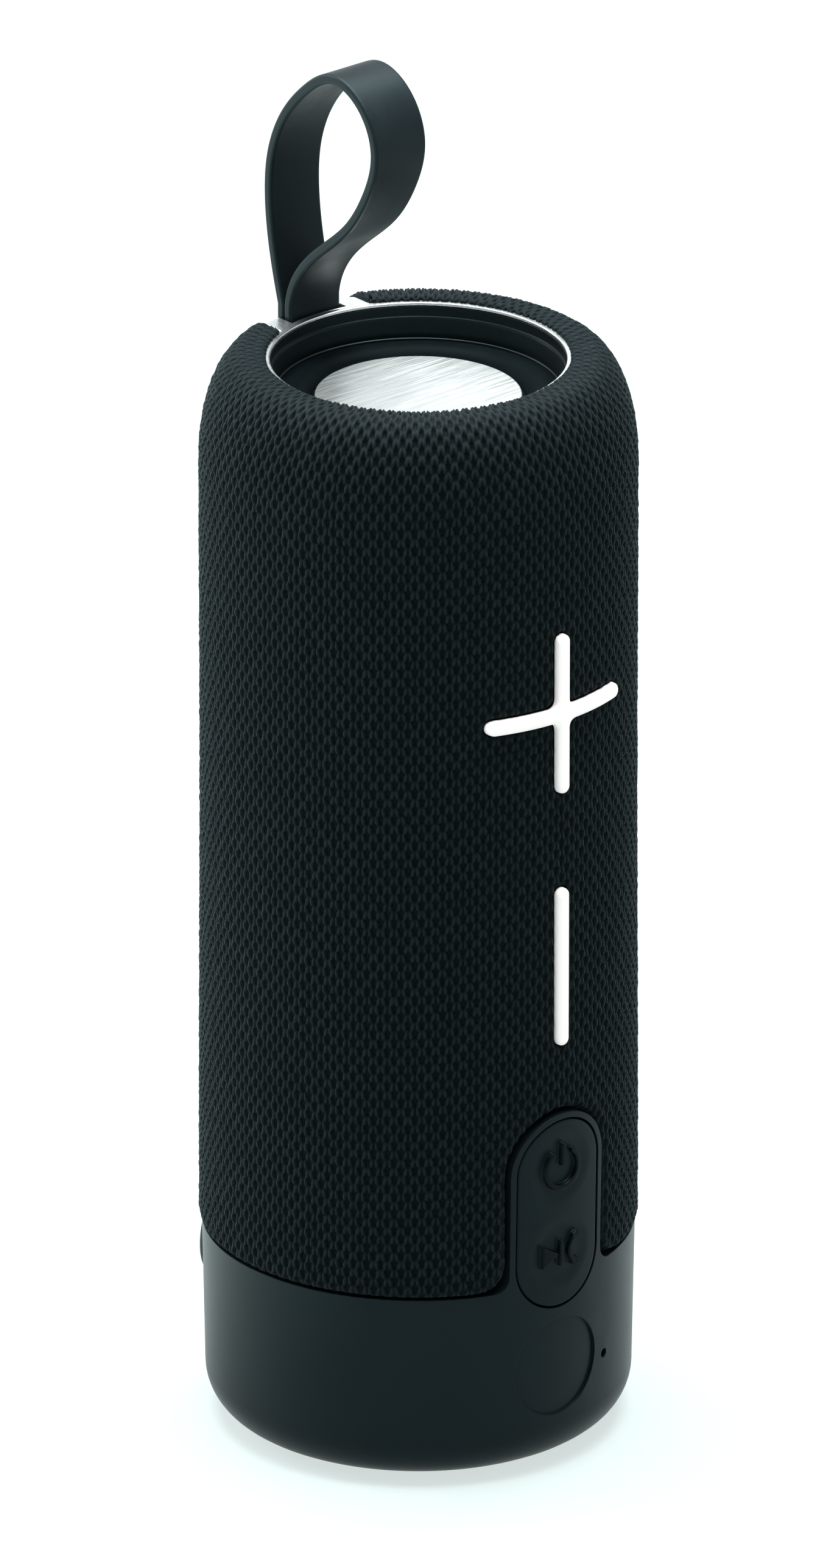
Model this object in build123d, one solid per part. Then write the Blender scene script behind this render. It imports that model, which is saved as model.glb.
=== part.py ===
"""Portable cylindrical loudspeaker: a knitted sleeve over a perforated tube, a moulded base cup with
the keypad and the sockets, a passive radiator in a silver-rimmed well at the top, and a strap loop.

Millimetres. Z = 0 is the table, -Y is the side with the keys, +Y the side with strap and sockets.
"""

import math
import os

from build123d import *

# ---- overall -----------------------------------------------------------------------------------
body_radius = 35.0          # outside of the knitted sleeve
rim_height = 182.0          # top face of the silver rim
shoulder_width = 7.4        # the sleeve's top edge rounds over this far inwards
shoulder_drop = 17.6        # and starts to do so this far down
sleeve_thickness = 1.1
sleeve_crest = 0.7          # how far the sleeve's shoulder stands above the rim
sleeve_rim_gap = 0.25
backing_gap = 0.3           # between the sleeve and the plastic behind it
slip = 0.05                 # between pieces that are pushed together

# ---- base cup ----------------------------------------------------------------------------------
base_height = 33.5          # top edge of the cup, where the sleeve's hem sits
sleeve_proud = 0.05         # the sleeve stands this far outside the cup's top edge
base_taper = 0.6            # the cup's radius shrinks by this much down its height
base_rounding = 7.6
base_wall = 2.2
base_clearance = 0.6        # underside of the cup above the table
hem_gap = 0.4               # between the cup's top edge and the sleeve

foot_radius = 20.0
foot_thickness = 1.2
foot_gap = 0.2

# ---- tongue of the cup, and the keypad in it ---------------------------------------------------
tongue_width = 19.1
tongue_border = 1.25        # of the tongue round the keypad
tongue_fillet = 2.6
sleeve_tongue_gap = 0.7
tube_tongue_gap = 1.0
pad_dip = 4.5               # how far the keypad reaches below the cup's top edge
pad_length = 32.5
pad_gap = 0.3
pad_split = 0.3             # between the power key's half and the play key's half
pad_thickness = 1.7
key_pitch = 14.9            # between the power key and the play key
key_shift = 0.6             # the middle of both keys above the middle of the keypad
membrane_thickness = 0.7
membrane_margin = 1.2       # how far the membrane reaches past the keypad's opening
membrane_proud = 1.0       # its front face outside the tube's bore

# ---- volume keys -------------------------------------------------------------------------------
plus_height = 131.8
minus_height = 88.2
bar_length = 27.2
bar_width = 2.4
bar_proud = 0.95            # above the sleeve
bar_thickness = 1.4
bar_edge = 0.5              # rounding of the bar's outer edges
bar_gap = 0.35

# ---- switches and boards behind all four keys --------------------------------------------------
power_post_radius = 2.6
volume_post_radius = 1.5
post_gap = 0.5
switch_side = 6.0
switch_depth = 2.6
switch_floor = 0.6
stem_radius = 1.6
stem_proud = 0.9
stem_gap = 0.2
stem_root = 1.3             # where the stem starts inside the switch
board_thickness = 1.4
key_board_depth = 4.4       # front face of the keypad's board inside the tube's bore
key_board_half = 8.6
key_screw_x = 6.6
volume_board_depth = 4.9
volume_board_half = 5.5
volume_board_margin = 8.0   # past the plus key and the minus key
volume_screw_spread = 11.0
board_hole = 1.0            # radius
screw_radius = 0.85
screw_head_radius = 1.7
screw_head = 0.9
boss_radius = 2.6
tray_wall = 1.2
tray_margin = 0.85          # past the tongue, on each side
tray_depth = 1.2            # behind the board
tray_floor = 1.5
tray_low = 2.5              # below the keypad
tray_high = 3.3             # above the tongue
tray_post_radius = 2.0
screw_bite = 2.0
volume_screw_bite = 3.5

# ---- badge recess and microphone ---------------------------------------------------------------
badge_radius = 8.5
badge_height = 18.3
badge_depth = 0.45
microphone_angle = 18.8     # degrees round from the front, towards +X
microphone_height = 16.6
microphone_hole = 0.8       # radius
microphone_radius = 2.0
microphone_depth = 1.2      # front face behind the cup's wall
microphone_length = 1.8
boot_radius = 3.0
boot_front = 0.3
boot_back = 3.6

# ---- tube and shoulder cap ---------------------------------------------------------------------
tube_wall = 2.2
cap_height = 16.0           # from the rim down to the joint between the cap and the tube
spigot_depth = 5.0
spigot_gap = 0.2
spigot_wall = 2.0
sound_slot_height = 2.4
sound_slot_pitch = 5.0
sound_slot_count = 7
sound_slot_width = 30.0
neck_wall = 2.1             # of the cap round the well
shelf_depth = 3.5           # of the cap's ledge under the clamp
shelf_width = 3.7

# ---- rim, well and passive radiator ------------------------------------------------------------
rim_radius = 24.7
rim_width = 1.1
rim_cap = 0.6               # thickness of the rim's visible lip
rim_edge = 0.2
rim_skirt = 0.6
rim_depth = 4.5
rim_gap = 0.15
well_step = 2.3             # depth of the step line in the well's wall
well_setback = 0.3          # the wall stands back this far below the step
well_depth = 6.0            # depth of the clamped edge of the radiator's surround
clamp_lip = 1.0             # how far the liner reaches inwards over that edge
flange_thickness = 1.0
roll_setback = 0.4          # between the liner's lip and the roll
roll_width = 5.2            # of the surround's roll, between the clamp and the disc
roll_crest = 0.4            # top of the roll above the clamped edge
roll_thickness = 0.7
disc_margin = 0.5           # between the roll and the disc
disc_thickness = 1.2
disc_drop = 6.3             # top of the disc below the rim
disc_edge = 0.25
disc_overlap = 3.5          # of the surround under the disc
web_thickness = 0.6         # of the surround where it is glued to the disc
weight_hub = 3.0
weight_plate = 1.0

# ---- strap -------------------------------------------------------------------------------------
strap_width = 10.5
strap_thickness = 1.7
strap_margin = 2.3          # from the rim's outside to the middle of the strap's two ends
strap_pivot = 2.1           # height of the flexing line above the rim
strap_gap = 0.3
strap_slot_gap = 0.45
strap_depth = 9.0           # how far the strap's ends reach down into the cap
strap_pin_rise = 2.6        # the pin above the strap's lower end
strap_pin_radius = 1.0
strap_pin_half = 7.4
strap_boss_half = 8.0
tab_width = 20.4
tab_drop = 6.0
tab_gap = 0.3

# ---- rear sockets and their flap ---------------------------------------------------------------
port_height = 24.5
flap_half_length = 22.95
flap_half_height = 6.0
flap_proud = 1.0
flap_thickness = 1.45
flap_gap = 0.45
flap_fixed_end = 3.45       # length of the flap's end that stays in the cup
flap_slit = 0.2             # between the fixed end and the part that lifts
flap_pocket_depth = 1.1
usb_half_width = 4.47
usb_half_height = 1.6
usb_depth = 7.3
usb_wall = 0.3
usb_back = 1.2
usb_blade_half = 0.35
usb_blade_inset = 1.12
card_x = -13.0
card_half_width = 6.2
card_half_height = 0.9
card_drop = 0.6             # middle of the card slot below the middle of the other sockets
card_depth = 10.8
card_wall = 0.6
card_opening = 0.5
audio_x = 14.0
audio_half = 3.2
audio_rise = 2.6
audio_depth = 12.0
audio_bore = 1.8            # radius
audio_opening = 3.0         # radius
opening_gap = 0.33          # round the USB socket's mouth
card_gap = 0.1
socket_gap = 0.3            # between the cup's wall and the sockets behind it

# ---- inside ------------------------------------------------------------------------------------
bulkhead_thickness = 2.5
board_margin = 2.4          # between the main board and the tube's bore
board_drop = 3.7            # underside of the main board below the middle of the sockets
post_circle = 15.0          # radius of the circle of base screws
cup_post_radius = 4.0
upper_post_radius = 3.6
base_screw_radius = 1.3
base_screw_head = 2.5
base_screw_seat = 4.6
base_screw_hole = 1.6
post_head_gap = 0.3
thread_end = 2.0
tray_back_margin = 4.0
shield_side = 12.0
shield_height = 2.2
shield_wall = 0.3
shield_x = -18.0
capacitor_radius = 3.15
capacitor_height = 7.5
capacitor_x = (13.5, 21.5)
capacitor_y = -1.5
chip_side = 7.0
chip_height = 1.1
cell_radius = 9.2
cell_length = 65.0
cell_spread = 9.7
cell_back = 12.0
cell_button = 3.0
cell_button_height = 1.0
cell_gap = 0.15
cradle_wall = 1.4
cradle_floor = 1.5
cradle_collar = 12.0
clip_collar = 9.0
clip_thickness = 1.2
driver_height = 131.5
driver_plane = 23.6
driver_radius = 18.0
driver_flange = 2.3         # width of the glued edge
driver_lip = 1.2            # its thickness
driver_sheet = 0.8
cone_radius = 13.0
roll_half = 2.2             # half the width of the cone's edge roll
coil_radius = 5.0
coil_gap = 0.3
coil_low = -13.4
dome_radius = 8.0
dome_drop = 10.03
magnet_radius = 12.0
basket_depth = 9.6
plate_thickness = 2.5
magnet_thickness = 4.0
baffle_thickness = 1.5
baffle_gap = 0.4
baffle_half = 22.0
seal_section = 1.2
seal_low = 0.65             # lower edge of the seal's groove above the bulkhead's underside

# ---- worked out from the above -----------------------------------------------------------------
reach = 2 * body_radius
base_top_radius = body_radius - sleeve_proud
tube_radius = body_radius - sleeve_thickness - backing_gap
tube_inner = tube_radius - tube_wall
tube_top = rim_height - cap_height
shoulder_top = rim_height + sleeve_crest
pad_width = tongue_width - 2 * tongue_border
pad_low = base_height - pad_dip
pad_high = pad_low + pad_length
pad_middle = (pad_low + pad_high) / 2
tongue_top = pad_high + tongue_border
power_height = pad_middle + key_shift + key_pitch / 2
play_height = pad_middle + key_shift - key_pitch / 2
floor_height = base_clearance + base_wall
disc_top = rim_height - disc_drop
disc_under = disc_top - disc_thickness
clamp_top = rim_height - well_depth
well_radius = rim_radius - rim_width
roll_outer = well_radius - clamp_lip - roll_setback
roll_inner = roll_outer - roll_width
disc_radius = roll_inner - disc_margin
strap_seat = rim_radius + strap_margin
pivot_height = rim_height + strap_pivot
strap_low = rim_height - strap_depth
main_board_height = port_height - board_drop
board_top = main_board_height + board_thickness
flap_hinge_x = flap_half_length - flap_fixed_end
bulkhead_radius = tube_inner - 2 * slip
cell_low = base_height + bulkhead_thickness + cradle_floor


# ---- helpers -----------------------------------------------------------------------------------
def rod(radius, low, high, x=0.0, y=0.0):
    """An upright round bar."""
    return Pos(x, y, low) * Cylinder(radius, high - low, align=(Align.CENTER, Align.CENTER, Align.MIN))


def pipe(outer, inner, low, high, x=0.0, y=0.0):
    """An upright tube."""
    return rod(outer, low, high, x, y) - rod(inner, low, high, x, y)


def rod_along_y(radius, near, far, x, z):
    """A round bar along Y, from near to far."""
    return Pos(x, near, z) * Rot(-90, 0, 0) * rod(radius, 0, far - near)


def block(x_low, x_high, y_low, y_high, z_low, z_high):
    """A box between two corners."""
    middle = Pos((x_low + x_high) / 2, (y_low + y_high) / 2, (z_low + z_high) / 2)
    return middle * Box(x_high - x_low, y_high - y_low, z_high - z_low)


def turned(*outline):
    """A solid of revolution about Z from (radius, height) corners."""
    return revolve(Plane.XZ * make_face(Polyline(*outline, close=True)), Axis.Z)


def outline_of(*lines):
    """A face inside lines, arcs and splines that meet end to end."""
    return make_face(Wire([edge for line in lines for edge in line.edges()]))


def turned_edges(*lines):
    """A solid of revolution about Z from the lines and arcs of its section."""
    return revolve(Plane.XZ * outline_of(*lines), Axis.Z)


def to_front(sketch):
    """A sketch drawn in (X, Z), run from the axis out through the front."""
    return extrude(Plane.XZ * sketch, amount=reach)


def to_rear(sketch):
    """A sketch drawn in (X, Z), run from the axis out through the back."""
    return extrude(Plane.XZ * sketch, amount=-reach)


def pill(half_length, half_width, x=0.0, z=0.0, upright=True):
    """A slot outline with round ends."""
    outline = SlotOverall(2 * half_length, 2 * half_width, rotation=90 if upright else 0)
    return Pos(x, z) * outline


def base_radius(height):
    """The cup's outside radius at a height; its wall carries on straight into the tongue."""
    return base_top_radius + (height - base_height) * base_taper / base_height


def base_cone(inset, low, high):
    """The cup's drafted side as a solid, pulled in by inset."""
    return turned((0, low), (base_radius(low) - inset, low), (base_radius(high) - inset, high), (0, high))


def cup_shape(inset, low, high):
    """The same with the cup's rounded bottom edge."""
    corner_radius = base_radius(low) - inset
    section = make_face(Polyline(
        (0, low), (corner_radius, low), (base_radius(high) - inset, high), (0, high), close=True))
    corner = section.vertices().sort_by_distance((corner_radius, low, 0))[0]
    return revolve(Plane.XZ * fillet(corner, base_rounding - inset), Axis.Z)


def shoulder_shape(inset, low):
    """The body's outside above low, pulled in by inset, with its rounded shoulder."""
    radius, top = body_radius - inset, shoulder_top - inset
    across, down = shoulder_width - inset, shoulder_drop - inset
    middle = (radius - across, top - down)
    body = turned_edges(
        Polyline((0, 0), (radius, 0), (radius, top - down)),
        EllipticalCenterArc(middle, across, down, arc_size=90),
        Polyline((radius - across, top), (0, top), (0, 0)))
    return body & rod(reach, low, shoulder_top + 1)


def tongue_sketch(grow):
    """The cup's front outline in (X, Z): its top edge and the tongue round the keypad."""
    half = tongue_width / 2 + grow
    edge = base_height + grow
    outline = (Pos(0, edge / 2 - 1) * Rectangle(2 * reach, edge + 2)
               + Pos(0, (tongue_top + grow - half) / 2) * Rectangle(2 * half, tongue_top + grow - half)
               + Pos(0, tongue_top + grow - half) * Circle(half))
    corners = [outline.vertices().sort_by_distance((side * half, edge, 0))[0] for side in (-1, 1)]
    return fillet(corners, tongue_fillet - grow)


def bar_sketch(height, crossed, grow=0.0):
    """A volume key's outline in (X, Z): an upright bar, or two bars crossed."""
    half, width = bar_length / 2 + grow, bar_width / 2 + grow
    outline = pill(half, width, z=height)
    if crossed:
        outline += pill(half, width, z=height, upright=False)
    return outline


# ---- shells ------------------------------------------------------------------------------------
def foot_pad():
    return rod(foot_radius, 0, foot_thickness)


def post_places():
    """The four base screws' places."""
    return [(post_circle * math.cos(math.radians(angle)), post_circle * math.sin(math.radians(angle)))
            for angle in (45, 135, 225, 315)]


def pocket_cut():
    """The shallow pill-shaped pocket that the socket flap lies in."""
    outline = pill(flap_half_length + flap_gap, flap_half_height + flap_gap, z=port_height, upright=False)
    return to_rear(outline) - base_cone(flap_pocket_depth, 0, 2 * base_height)


def socket_holes():
    """Openings through the cup's wall for the three sockets."""
    usb = pill(usb_half_width + opening_gap, usb_half_height + opening_gap, z=port_height, upright=False)
    card = Rectangle(2 * (card_half_width + card_gap), 2 * (card_half_height + card_gap))
    card = Pos(card_x, port_height - card_drop) * card
    audio = Pos(audio_x, port_height) * Circle(audio_opening)
    return to_rear(usb) + to_rear(card) + to_rear(audio)


def microphone_bar(radius, near, far):
    """A round bar on the microphone's line, between two distances from the axis."""
    bar = Rot(0, 90, 0) * rod(radius, near, far)
    return Pos(0, 0, microphone_height) * Rot(0, 0, microphone_angle - 90) * bar


def base_cup():
    keep = to_front(tongue_sketch(0)) + block(-reach, reach, 0, reach, -1, base_height)
    top = tongue_top + 5
    cup = cup_shape(0, base_clearance, top) - cup_shape(base_wall, floor_height, top + 1)
    cup &= keep
    for x, y in post_places():
        cup += rod(cup_post_radius, floor_height - base_wall / 2, main_board_height, x, y)
    for x, y in post_places():
        cup -= rod(base_screw_hole, 0, main_board_height, x, y)
        cup -= rod(base_screw_head + post_head_gap, 0, base_screw_seat, x, y)
    pad = pill(pad_length / 2 + pad_gap, pad_width / 2 + pad_gap, z=pad_middle)
    badge = to_front(Pos(0, badge_height) * Circle(badge_radius)) - base_cone(badge_depth, 0, base_height)
    cup -= to_front(pad) + badge + pocket_cut() + socket_holes()
    cup -= microphone_bar(microphone_hole, body_radius / 2, reach)
    return cup - rod(foot_radius + foot_gap, 0, foot_thickness)


def fabric_sleeve():
    low = base_height + hem_gap
    sleeve = shoulder_shape(0, low) - shoulder_shape(sleeve_thickness, low)
    sleeve -= rod(rim_radius + sleeve_rim_gap, low, shoulder_top + 1)
    sleeve -= to_front(tongue_sketch(sleeve_tongue_gap))
    sleeve -= to_front(bar_sketch(plus_height, True, bar_gap))
    sleeve -= to_front(bar_sketch(minus_height, False, bar_gap))
    half = tab_width / 2 + tab_gap
    return sleeve - block(-half, half, 0, reach, rim_height - tab_drop - tab_gap, shoulder_top + 1)


def sound_slots():
    """Slots through both sides of the tube, in front of the drivers."""
    middle = (sound_slot_count - 1) / 2
    slots = [Pos(0, 0, driver_height + (row - middle) * sound_slot_pitch)
             * Box(2 * reach, sound_slot_width, sound_slot_height) for row in range(sound_slot_count)]
    return Compound(slots)


def grille_tube():
    tube = pipe(tube_radius, tube_inner, base_height, tube_top)
    for height in volume_screw_heights():
        tube += rod_along_y(boss_radius, -tube_radius + tube_wall / 2, -volume_board_face(), 0, height)
    tube -= sound_slots()
    tube -= to_front(tongue_sketch(tube_tongue_gap))
    for height in (plus_height, minus_height):
        tube -= rod_along_y(volume_post_radius + post_gap, -reach, -volume_board_face(), 0, height)
    for height in volume_screw_heights():
        tube -= rod_along_y(screw_radius, -tube_inner, -volume_board_face(), 0, height)
    return tube


def cap_section():
    """Section of the shoulder cap: outer shell, spigot into the tube, neck and shelf for the well."""
    shell = shoulder_shape(sleeve_thickness + backing_gap, tube_top)
    inner = shoulder_shape(sleeve_thickness + backing_gap + tube_wall, tube_top - 1)
    hollow = inner - rod(rim_radius + neck_wall, clamp_top - shelf_depth, shoulder_top)
    outside = tube_inner - spigot_gap
    spigot = pipe(outside, outside - spigot_wall, tube_top - spigot_depth, tube_top)
    web = pipe(tube_inner + tube_wall / 4, outside - spigot_wall, tube_top, tube_top + spigot_wall)
    return shell - hollow + spigot + web


def top_cap():
    outside = shoulder_shape(sleeve_thickness + backing_gap, 0)
    near, far = strap_seat - 2 * strap_thickness, strap_seat + 2.5 * strap_thickness
    boss = block(-strap_boss_half, strap_boss_half, near, far, strap_low - strap_thickness, shoulder_top)
    cap = cap_section() + (boss & outside)
    cap -= rod(rim_radius + rim_gap, clamp_top - flange_thickness, shoulder_top)
    cap -= rod(rim_radius - shelf_width, 0, shoulder_top)
    cap -= strap_slot(strap_slot_gap, strap_low - strap_gap)
    return cap - strap_pin_bar(strap_pin_half + 2 * slip, strap_pin_radius + slip)


def top_rim():
    """The silver rim, with the tab that carries the strap's slot over the shoulder."""
    inner, edge = well_radius, rim_edge
    skirt = rim_radius - rim_skirt
    ring = turned((inner, rim_height - edge), (inner + edge, rim_height), (rim_radius - edge, rim_height),
                  (rim_radius, rim_height - edge), (rim_radius, rim_height - rim_depth),
                  (skirt, rim_height - rim_depth), (skirt, rim_height - rim_cap),
                  (inner, rim_height - rim_cap))
    tab = shoulder_shape(sleeve_crest, 0) - shoulder_shape(sleeve_thickness + backing_gap - slip, 0)
    tab &= block(-tab_width / 2, tab_width / 2, 0, reach, rim_height - tab_drop, rim_height + 1)
    tab -= rod(skirt, 0, shoulder_top)
    return ring + tab - strap_slot(strap_slot_gap - 2 * slip, strap_low)


def well_liner():
    """The black wall of the well, which clamps the radiator's surround."""
    inner, skirt = well_radius, rim_radius - rim_skirt - slip
    step = rim_height - well_step
    ledge = rim_height - rim_depth - slip
    top = rim_height - rim_cap - slip
    foot, under_step = (inner - clamp_lip, clamp_top), (inner - well_setback, step - rim_edge)
    middle = (inner - (clamp_lip + well_setback) / 2 - rim_edge / 2, (clamp_top + under_step[1]) / 2)
    return turned_edges(
        ThreePointArc(foot, middle, under_step),
        Polyline(under_step, (inner, step), (inner, top), (skirt, top), (skirt, ledge),
                 (rim_radius, ledge), (rim_radius, clamp_top), foot))


# ---- passive radiator --------------------------------------------------------------------------
def radiator_surround():
    """Rubber half roll between the clamped flange and the disc."""
    inside, middle = disc_radius - disc_overlap, (roll_inner + roll_outer) / 2
    inner_low, outer_low = disc_under - web_thickness, clamp_top - flange_thickness
    crest = clamp_top + roll_crest
    far = rim_radius - 2 * slip
    glued, gripped = roll_inner + roll_thickness, roll_outer - roll_thickness
    return turned_edges(
        Polyline((inside, disc_under), (roll_inner, disc_under)),
        ThreePointArc((roll_inner, disc_under), (middle, crest), (roll_outer, clamp_top)),
        Polyline((roll_outer, clamp_top), (far, clamp_top), (far, outer_low), (gripped, outer_low)),
        ThreePointArc((gripped, outer_low), (middle, crest - roll_thickness), (glued, inner_low)),
        Polyline((glued, inner_low), (inside, inner_low), (inside, disc_under)))


def radiator_disc():
    disc = rod(disc_radius, disc_under, disc_top)
    return chamfer(disc.edges().group_by(Axis.Z)[-1], disc_edge)


def radiator_weight():
    """The steel weight glued under the disc, with a plate that grips the surround."""
    hub = rod(disc_radius - disc_overlap - 2 * slip, disc_under - weight_hub, disc_under)
    plate_top = disc_under - web_thickness
    return hub + rod(disc_radius - rim_edge, plate_top - weight_plate, plate_top)


# ---- strap -------------------------------------------------------------------------------------
def strap_slot(gap, low):
    """Space for the strap's two ends, grown by gap."""
    half, deep = strap_width / 2 + gap, strap_thickness + gap - 2 * slip
    return block(-half, half, strap_seat - deep, strap_seat + deep, low, shoulder_top + 1)


def strap_pin_bar(half_length, radius):
    """A round bar where the strap's pin lies."""
    bar = Rot(0, 90, 0) * rod(radius, -half_length, half_length)
    return Pos(0, strap_seat, strap_low + strap_pin_rise) * bar


def strap_root():
    """The strap's ends inside the cap, held by the pin, up to the line where the loop flexes."""
    root = block(-strap_width / 2, strap_width / 2, strap_seat - strap_thickness,
                 strap_seat + strap_thickness, strap_low, pivot_height - strap_gap)
    seat = Pos(0, strap_seat, pivot_height) * Rot(0, 90, 0) * Cylinder(strap_thickness + strap_gap, reach)
    return root - seat - strap_pin_bar(reach, strap_pin_radius + slip)


def strap_pin():
    return strap_pin_bar(strap_pin_half, strap_pin_radius)


def strap_line():
    """Middle line of the loop in (Y, Z), from the front end over the top to the back end."""
    half, seat = strap_thickness / 2, strap_seat
    places = [(-half, 0), (-3.6, 6.6), (-9.3, 12.2), (-15.3, 17.4), (-19.9, 24.2), (-22.0, 32.0),
              (-18.9, 38.8), (-12.0, 41.8), (-5.2, 38.2), (0.2, 32.2), (3.4, 24.8), (4.0, 16.6),
              (2.9, 8.2), (half, 0)]
    points = [(seat + y, pivot_height + z) for y, z in places]
    return Spline(*points)


def strap_side(shift, start, end, count):
    """Points beside the strap's middle line, shifted to its left by shift."""
    line = strap_line()
    points = []
    for step in range(count + 1):
        along = start + (end - start) * step / count
        middle, way = line.position_at(along), line.tangent_at(along)
        points.append((middle.X - shift * way.Y, middle.Y + shift * way.X))
    return points


def strap_loop():
    half = strap_thickness / 2
    outer = Spline(*strap_side(half, 0, 1, 28))
    ends = (outer @ 0, outer @ 1)
    shape = outline_of(outer, Line(ends[1], ends[0]))
    shape += Pos(strap_seat, pivot_height) * Circle(strap_thickness)
    inner = strap_side(-half, 0.07, 0.93, 24)
    crotch = (strap_seat + 0.1, pivot_height + 2.0)
    shape -= outline_of(Spline(*inner), Polyline(inner[-1], crotch, inner[0]))
    return extrude(Plane.YZ * shape, amount=strap_width / 2, both=True)


# ---- keys and switches -------------------------------------------------------------------------
def keypad_half(low, high, height):
    """One half of the rubber keypad, with the post that reaches its switch."""
    outline = pill(pad_length / 2, pad_width / 2, z=pad_middle)
    skin = to_front(outline) & (base_cone(0, 0, tongue_top) - base_cone(pad_thickness, 0, tongue_top))
    skin &= block(-reach, reach, -reach, 0, low, high)
    top = -base_radius(height) + pad_thickness / 2
    return skin + rod_along_y(power_post_radius, top, -key_stem_top(), 0, height)


def keypad_membrane():
    """The thin rubber sheet behind the cup's wall that carries both keys."""
    outline = pill(pad_length / 2 + membrane_margin, pad_width / 2 + membrane_margin, z=pad_middle)
    front = tube_inner + membrane_proud
    sheet = pipe(front, front - membrane_thickness, 0, rim_height)
    sheet &= to_front(outline)
    for height in (power_height, play_height):
        sheet -= rod_along_y(power_post_radius + post_gap, -reach, 0, 0, height)
    return sheet


def key_board_face():
    """Distance of the keypad board's front face from the axis."""
    return tube_inner - key_board_depth


def key_stem_top():
    return key_board_face() + switch_depth + stem_proud


def volume_board_face():
    return tube_inner - volume_board_depth


def volume_stem_top():
    return volume_board_face() + switch_depth + stem_proud


def volume_screw_heights():
    middle = (plus_height + minus_height) / 2
    return (middle - volume_screw_spread, middle + volume_screw_spread)


def volume_key(height, crossed):
    """A raised white bar or cross, bent round the body, with a post behind its middle."""
    outer = rod(body_radius + bar_proud, 0, rim_height)
    inner = rod(body_radius + bar_proud - bar_thickness, 0, rim_height)
    bar = to_front(bar_sketch(height, crossed)) & (outer - inner)
    outside = bar.faces().sort_by(Axis.Y)[0]
    bar = fillet(outside.edges(), bar_edge)
    top = -(body_radius + bar_proud - bar_thickness / 2)
    return bar + rod_along_y(volume_post_radius, top, -volume_stem_top(), 0, height)


def tact_switch(board_face, height):
    """The fixed body of a push switch, with the well for its stem."""
    half = switch_side / 2
    body = block(-half, half, -board_face - switch_depth, -board_face, height - half, height + half)
    floor = -board_face - switch_floor
    well = rod_along_y(stem_radius + stem_gap, -board_face - switch_depth, floor, 0, height)
    return body - well


def tact_stem(board_face, height):
    top = board_face + switch_depth + stem_proud
    return rod_along_y(stem_radius, -top, -board_face - stem_root, 0, height)


def upright_board(face, half_width, low, high, holes):
    """A circuit board standing across the front, with screw holes."""
    board = block(-half_width, half_width, -face, -face + board_thickness, low, high)
    for x, z in holes:
        board -= rod_along_y(board_hole, -reach, 0, x, z)
    return board


def key_screw_places():
    return [(side * key_screw_x, pad_middle) for side in (-1, 1)]


def key_board():
    low, high = pad_low + tongue_border, pad_high - tongue_border / 2
    return upright_board(key_board_face(), key_board_half, low, high, key_screw_places())


def volume_board():
    holes = [(0, height) for height in volume_screw_heights()]
    low, high = minus_height - volume_board_margin, plus_height + volume_board_margin
    return upright_board(volume_board_face(), volume_board_half, low, high, holes)


def key_tray():
    """The bracket that holds the keypad board and closes the tube behind the tongue."""
    back = key_board_face() - board_thickness - tray_depth
    low, high = pad_low - tray_low, tongue_top + tray_high
    half = tongue_width / 2 + tray_margin
    tray = block(-half, half, -reach, -back + tray_floor, low, high)
    tray -= block(-half + tray_wall, half - tray_wall, -reach, -back, low, high - tray_wall)
    tray &= rod(tube_inner - spigot_gap, low, high)
    for x, z in key_screw_places():
        tray += rod_along_y(tray_post_radius, -back - tray_depth, -back + slip, x, z)
    for x, z in key_screw_places():
        tray -= rod_along_y(screw_radius + slip, -reach, -back + tray_wall, x, z)
    return tray


def small_screw(x, z, head_face, tip):
    """A pan-head screw along Y: head_face is under its head, tip is its point."""
    way = 1 if tip > head_face else -1
    head = sorted((head_face, head_face - way * screw_head))
    shank = sorted((head_face, tip))
    return rod_along_y(screw_head_radius, *head, x, z) + rod_along_y(screw_radius, *shank, x, z)


def key_board_screws():
    face = -key_board_face()
    tip = face + board_thickness + screw_bite
    return Compound([small_screw(x, z, face, tip) for x, z in key_screw_places()])


def volume_board_screws():
    back = -volume_board_face() + board_thickness
    tip = back - board_thickness - volume_screw_bite
    return Compound([small_screw(0, z, back, tip) for z in volume_screw_heights()])


# ---- sockets and flap --------------------------------------------------------------------------
def flap_sheet():
    """The whole closed flap, from its free end to its fixed end."""
    outline = pill(flap_half_length, flap_half_height, z=port_height, upright=False)
    return to_rear(outline) & (base_cone(-flap_proud, 0, 2 * base_height)
                               - base_cone(flap_thickness - flap_proud, 0, 2 * base_height))


def port_flap():
    return flap_sheet() & block(-reach, flap_hinge_x - flap_slit / 2, 0, reach, 0, 2 * base_height)


def flap_anchor():
    """The flap's fixed end."""
    return flap_sheet() & block(flap_hinge_x + flap_slit / 2, reach, 0, reach, 0, 2 * base_height)


def socket_mouth(corner_x):
    """How far back a socket reaches whose outermost corner is at corner_x."""
    return math.sqrt((base_radius(port_height) - base_wall) ** 2 - corner_x ** 2) - socket_gap


def usb_socket():
    """A metal shell, closed at the back, with its tongue."""
    mouth = socket_mouth(usb_half_width)
    outline = pill(usb_half_width, usb_half_height, upright=False)
    hollow = pill(usb_half_width - usb_wall, usb_half_height - usb_wall, upright=False)
    shell = extrude(Plane.XZ * outline, amount=-usb_depth)
    shell -= Pos(0, usb_back, 0) * extrude(Plane.XZ * hollow, amount=-usb_depth)
    half = usb_half_width - usb_blade_inset
    blade = block(-half, half, usb_back, usb_depth - usb_wall * 3, -usb_blade_half, usb_blade_half)
    return Pos(0, mouth - usb_depth, port_height) * (shell + blade)


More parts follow.
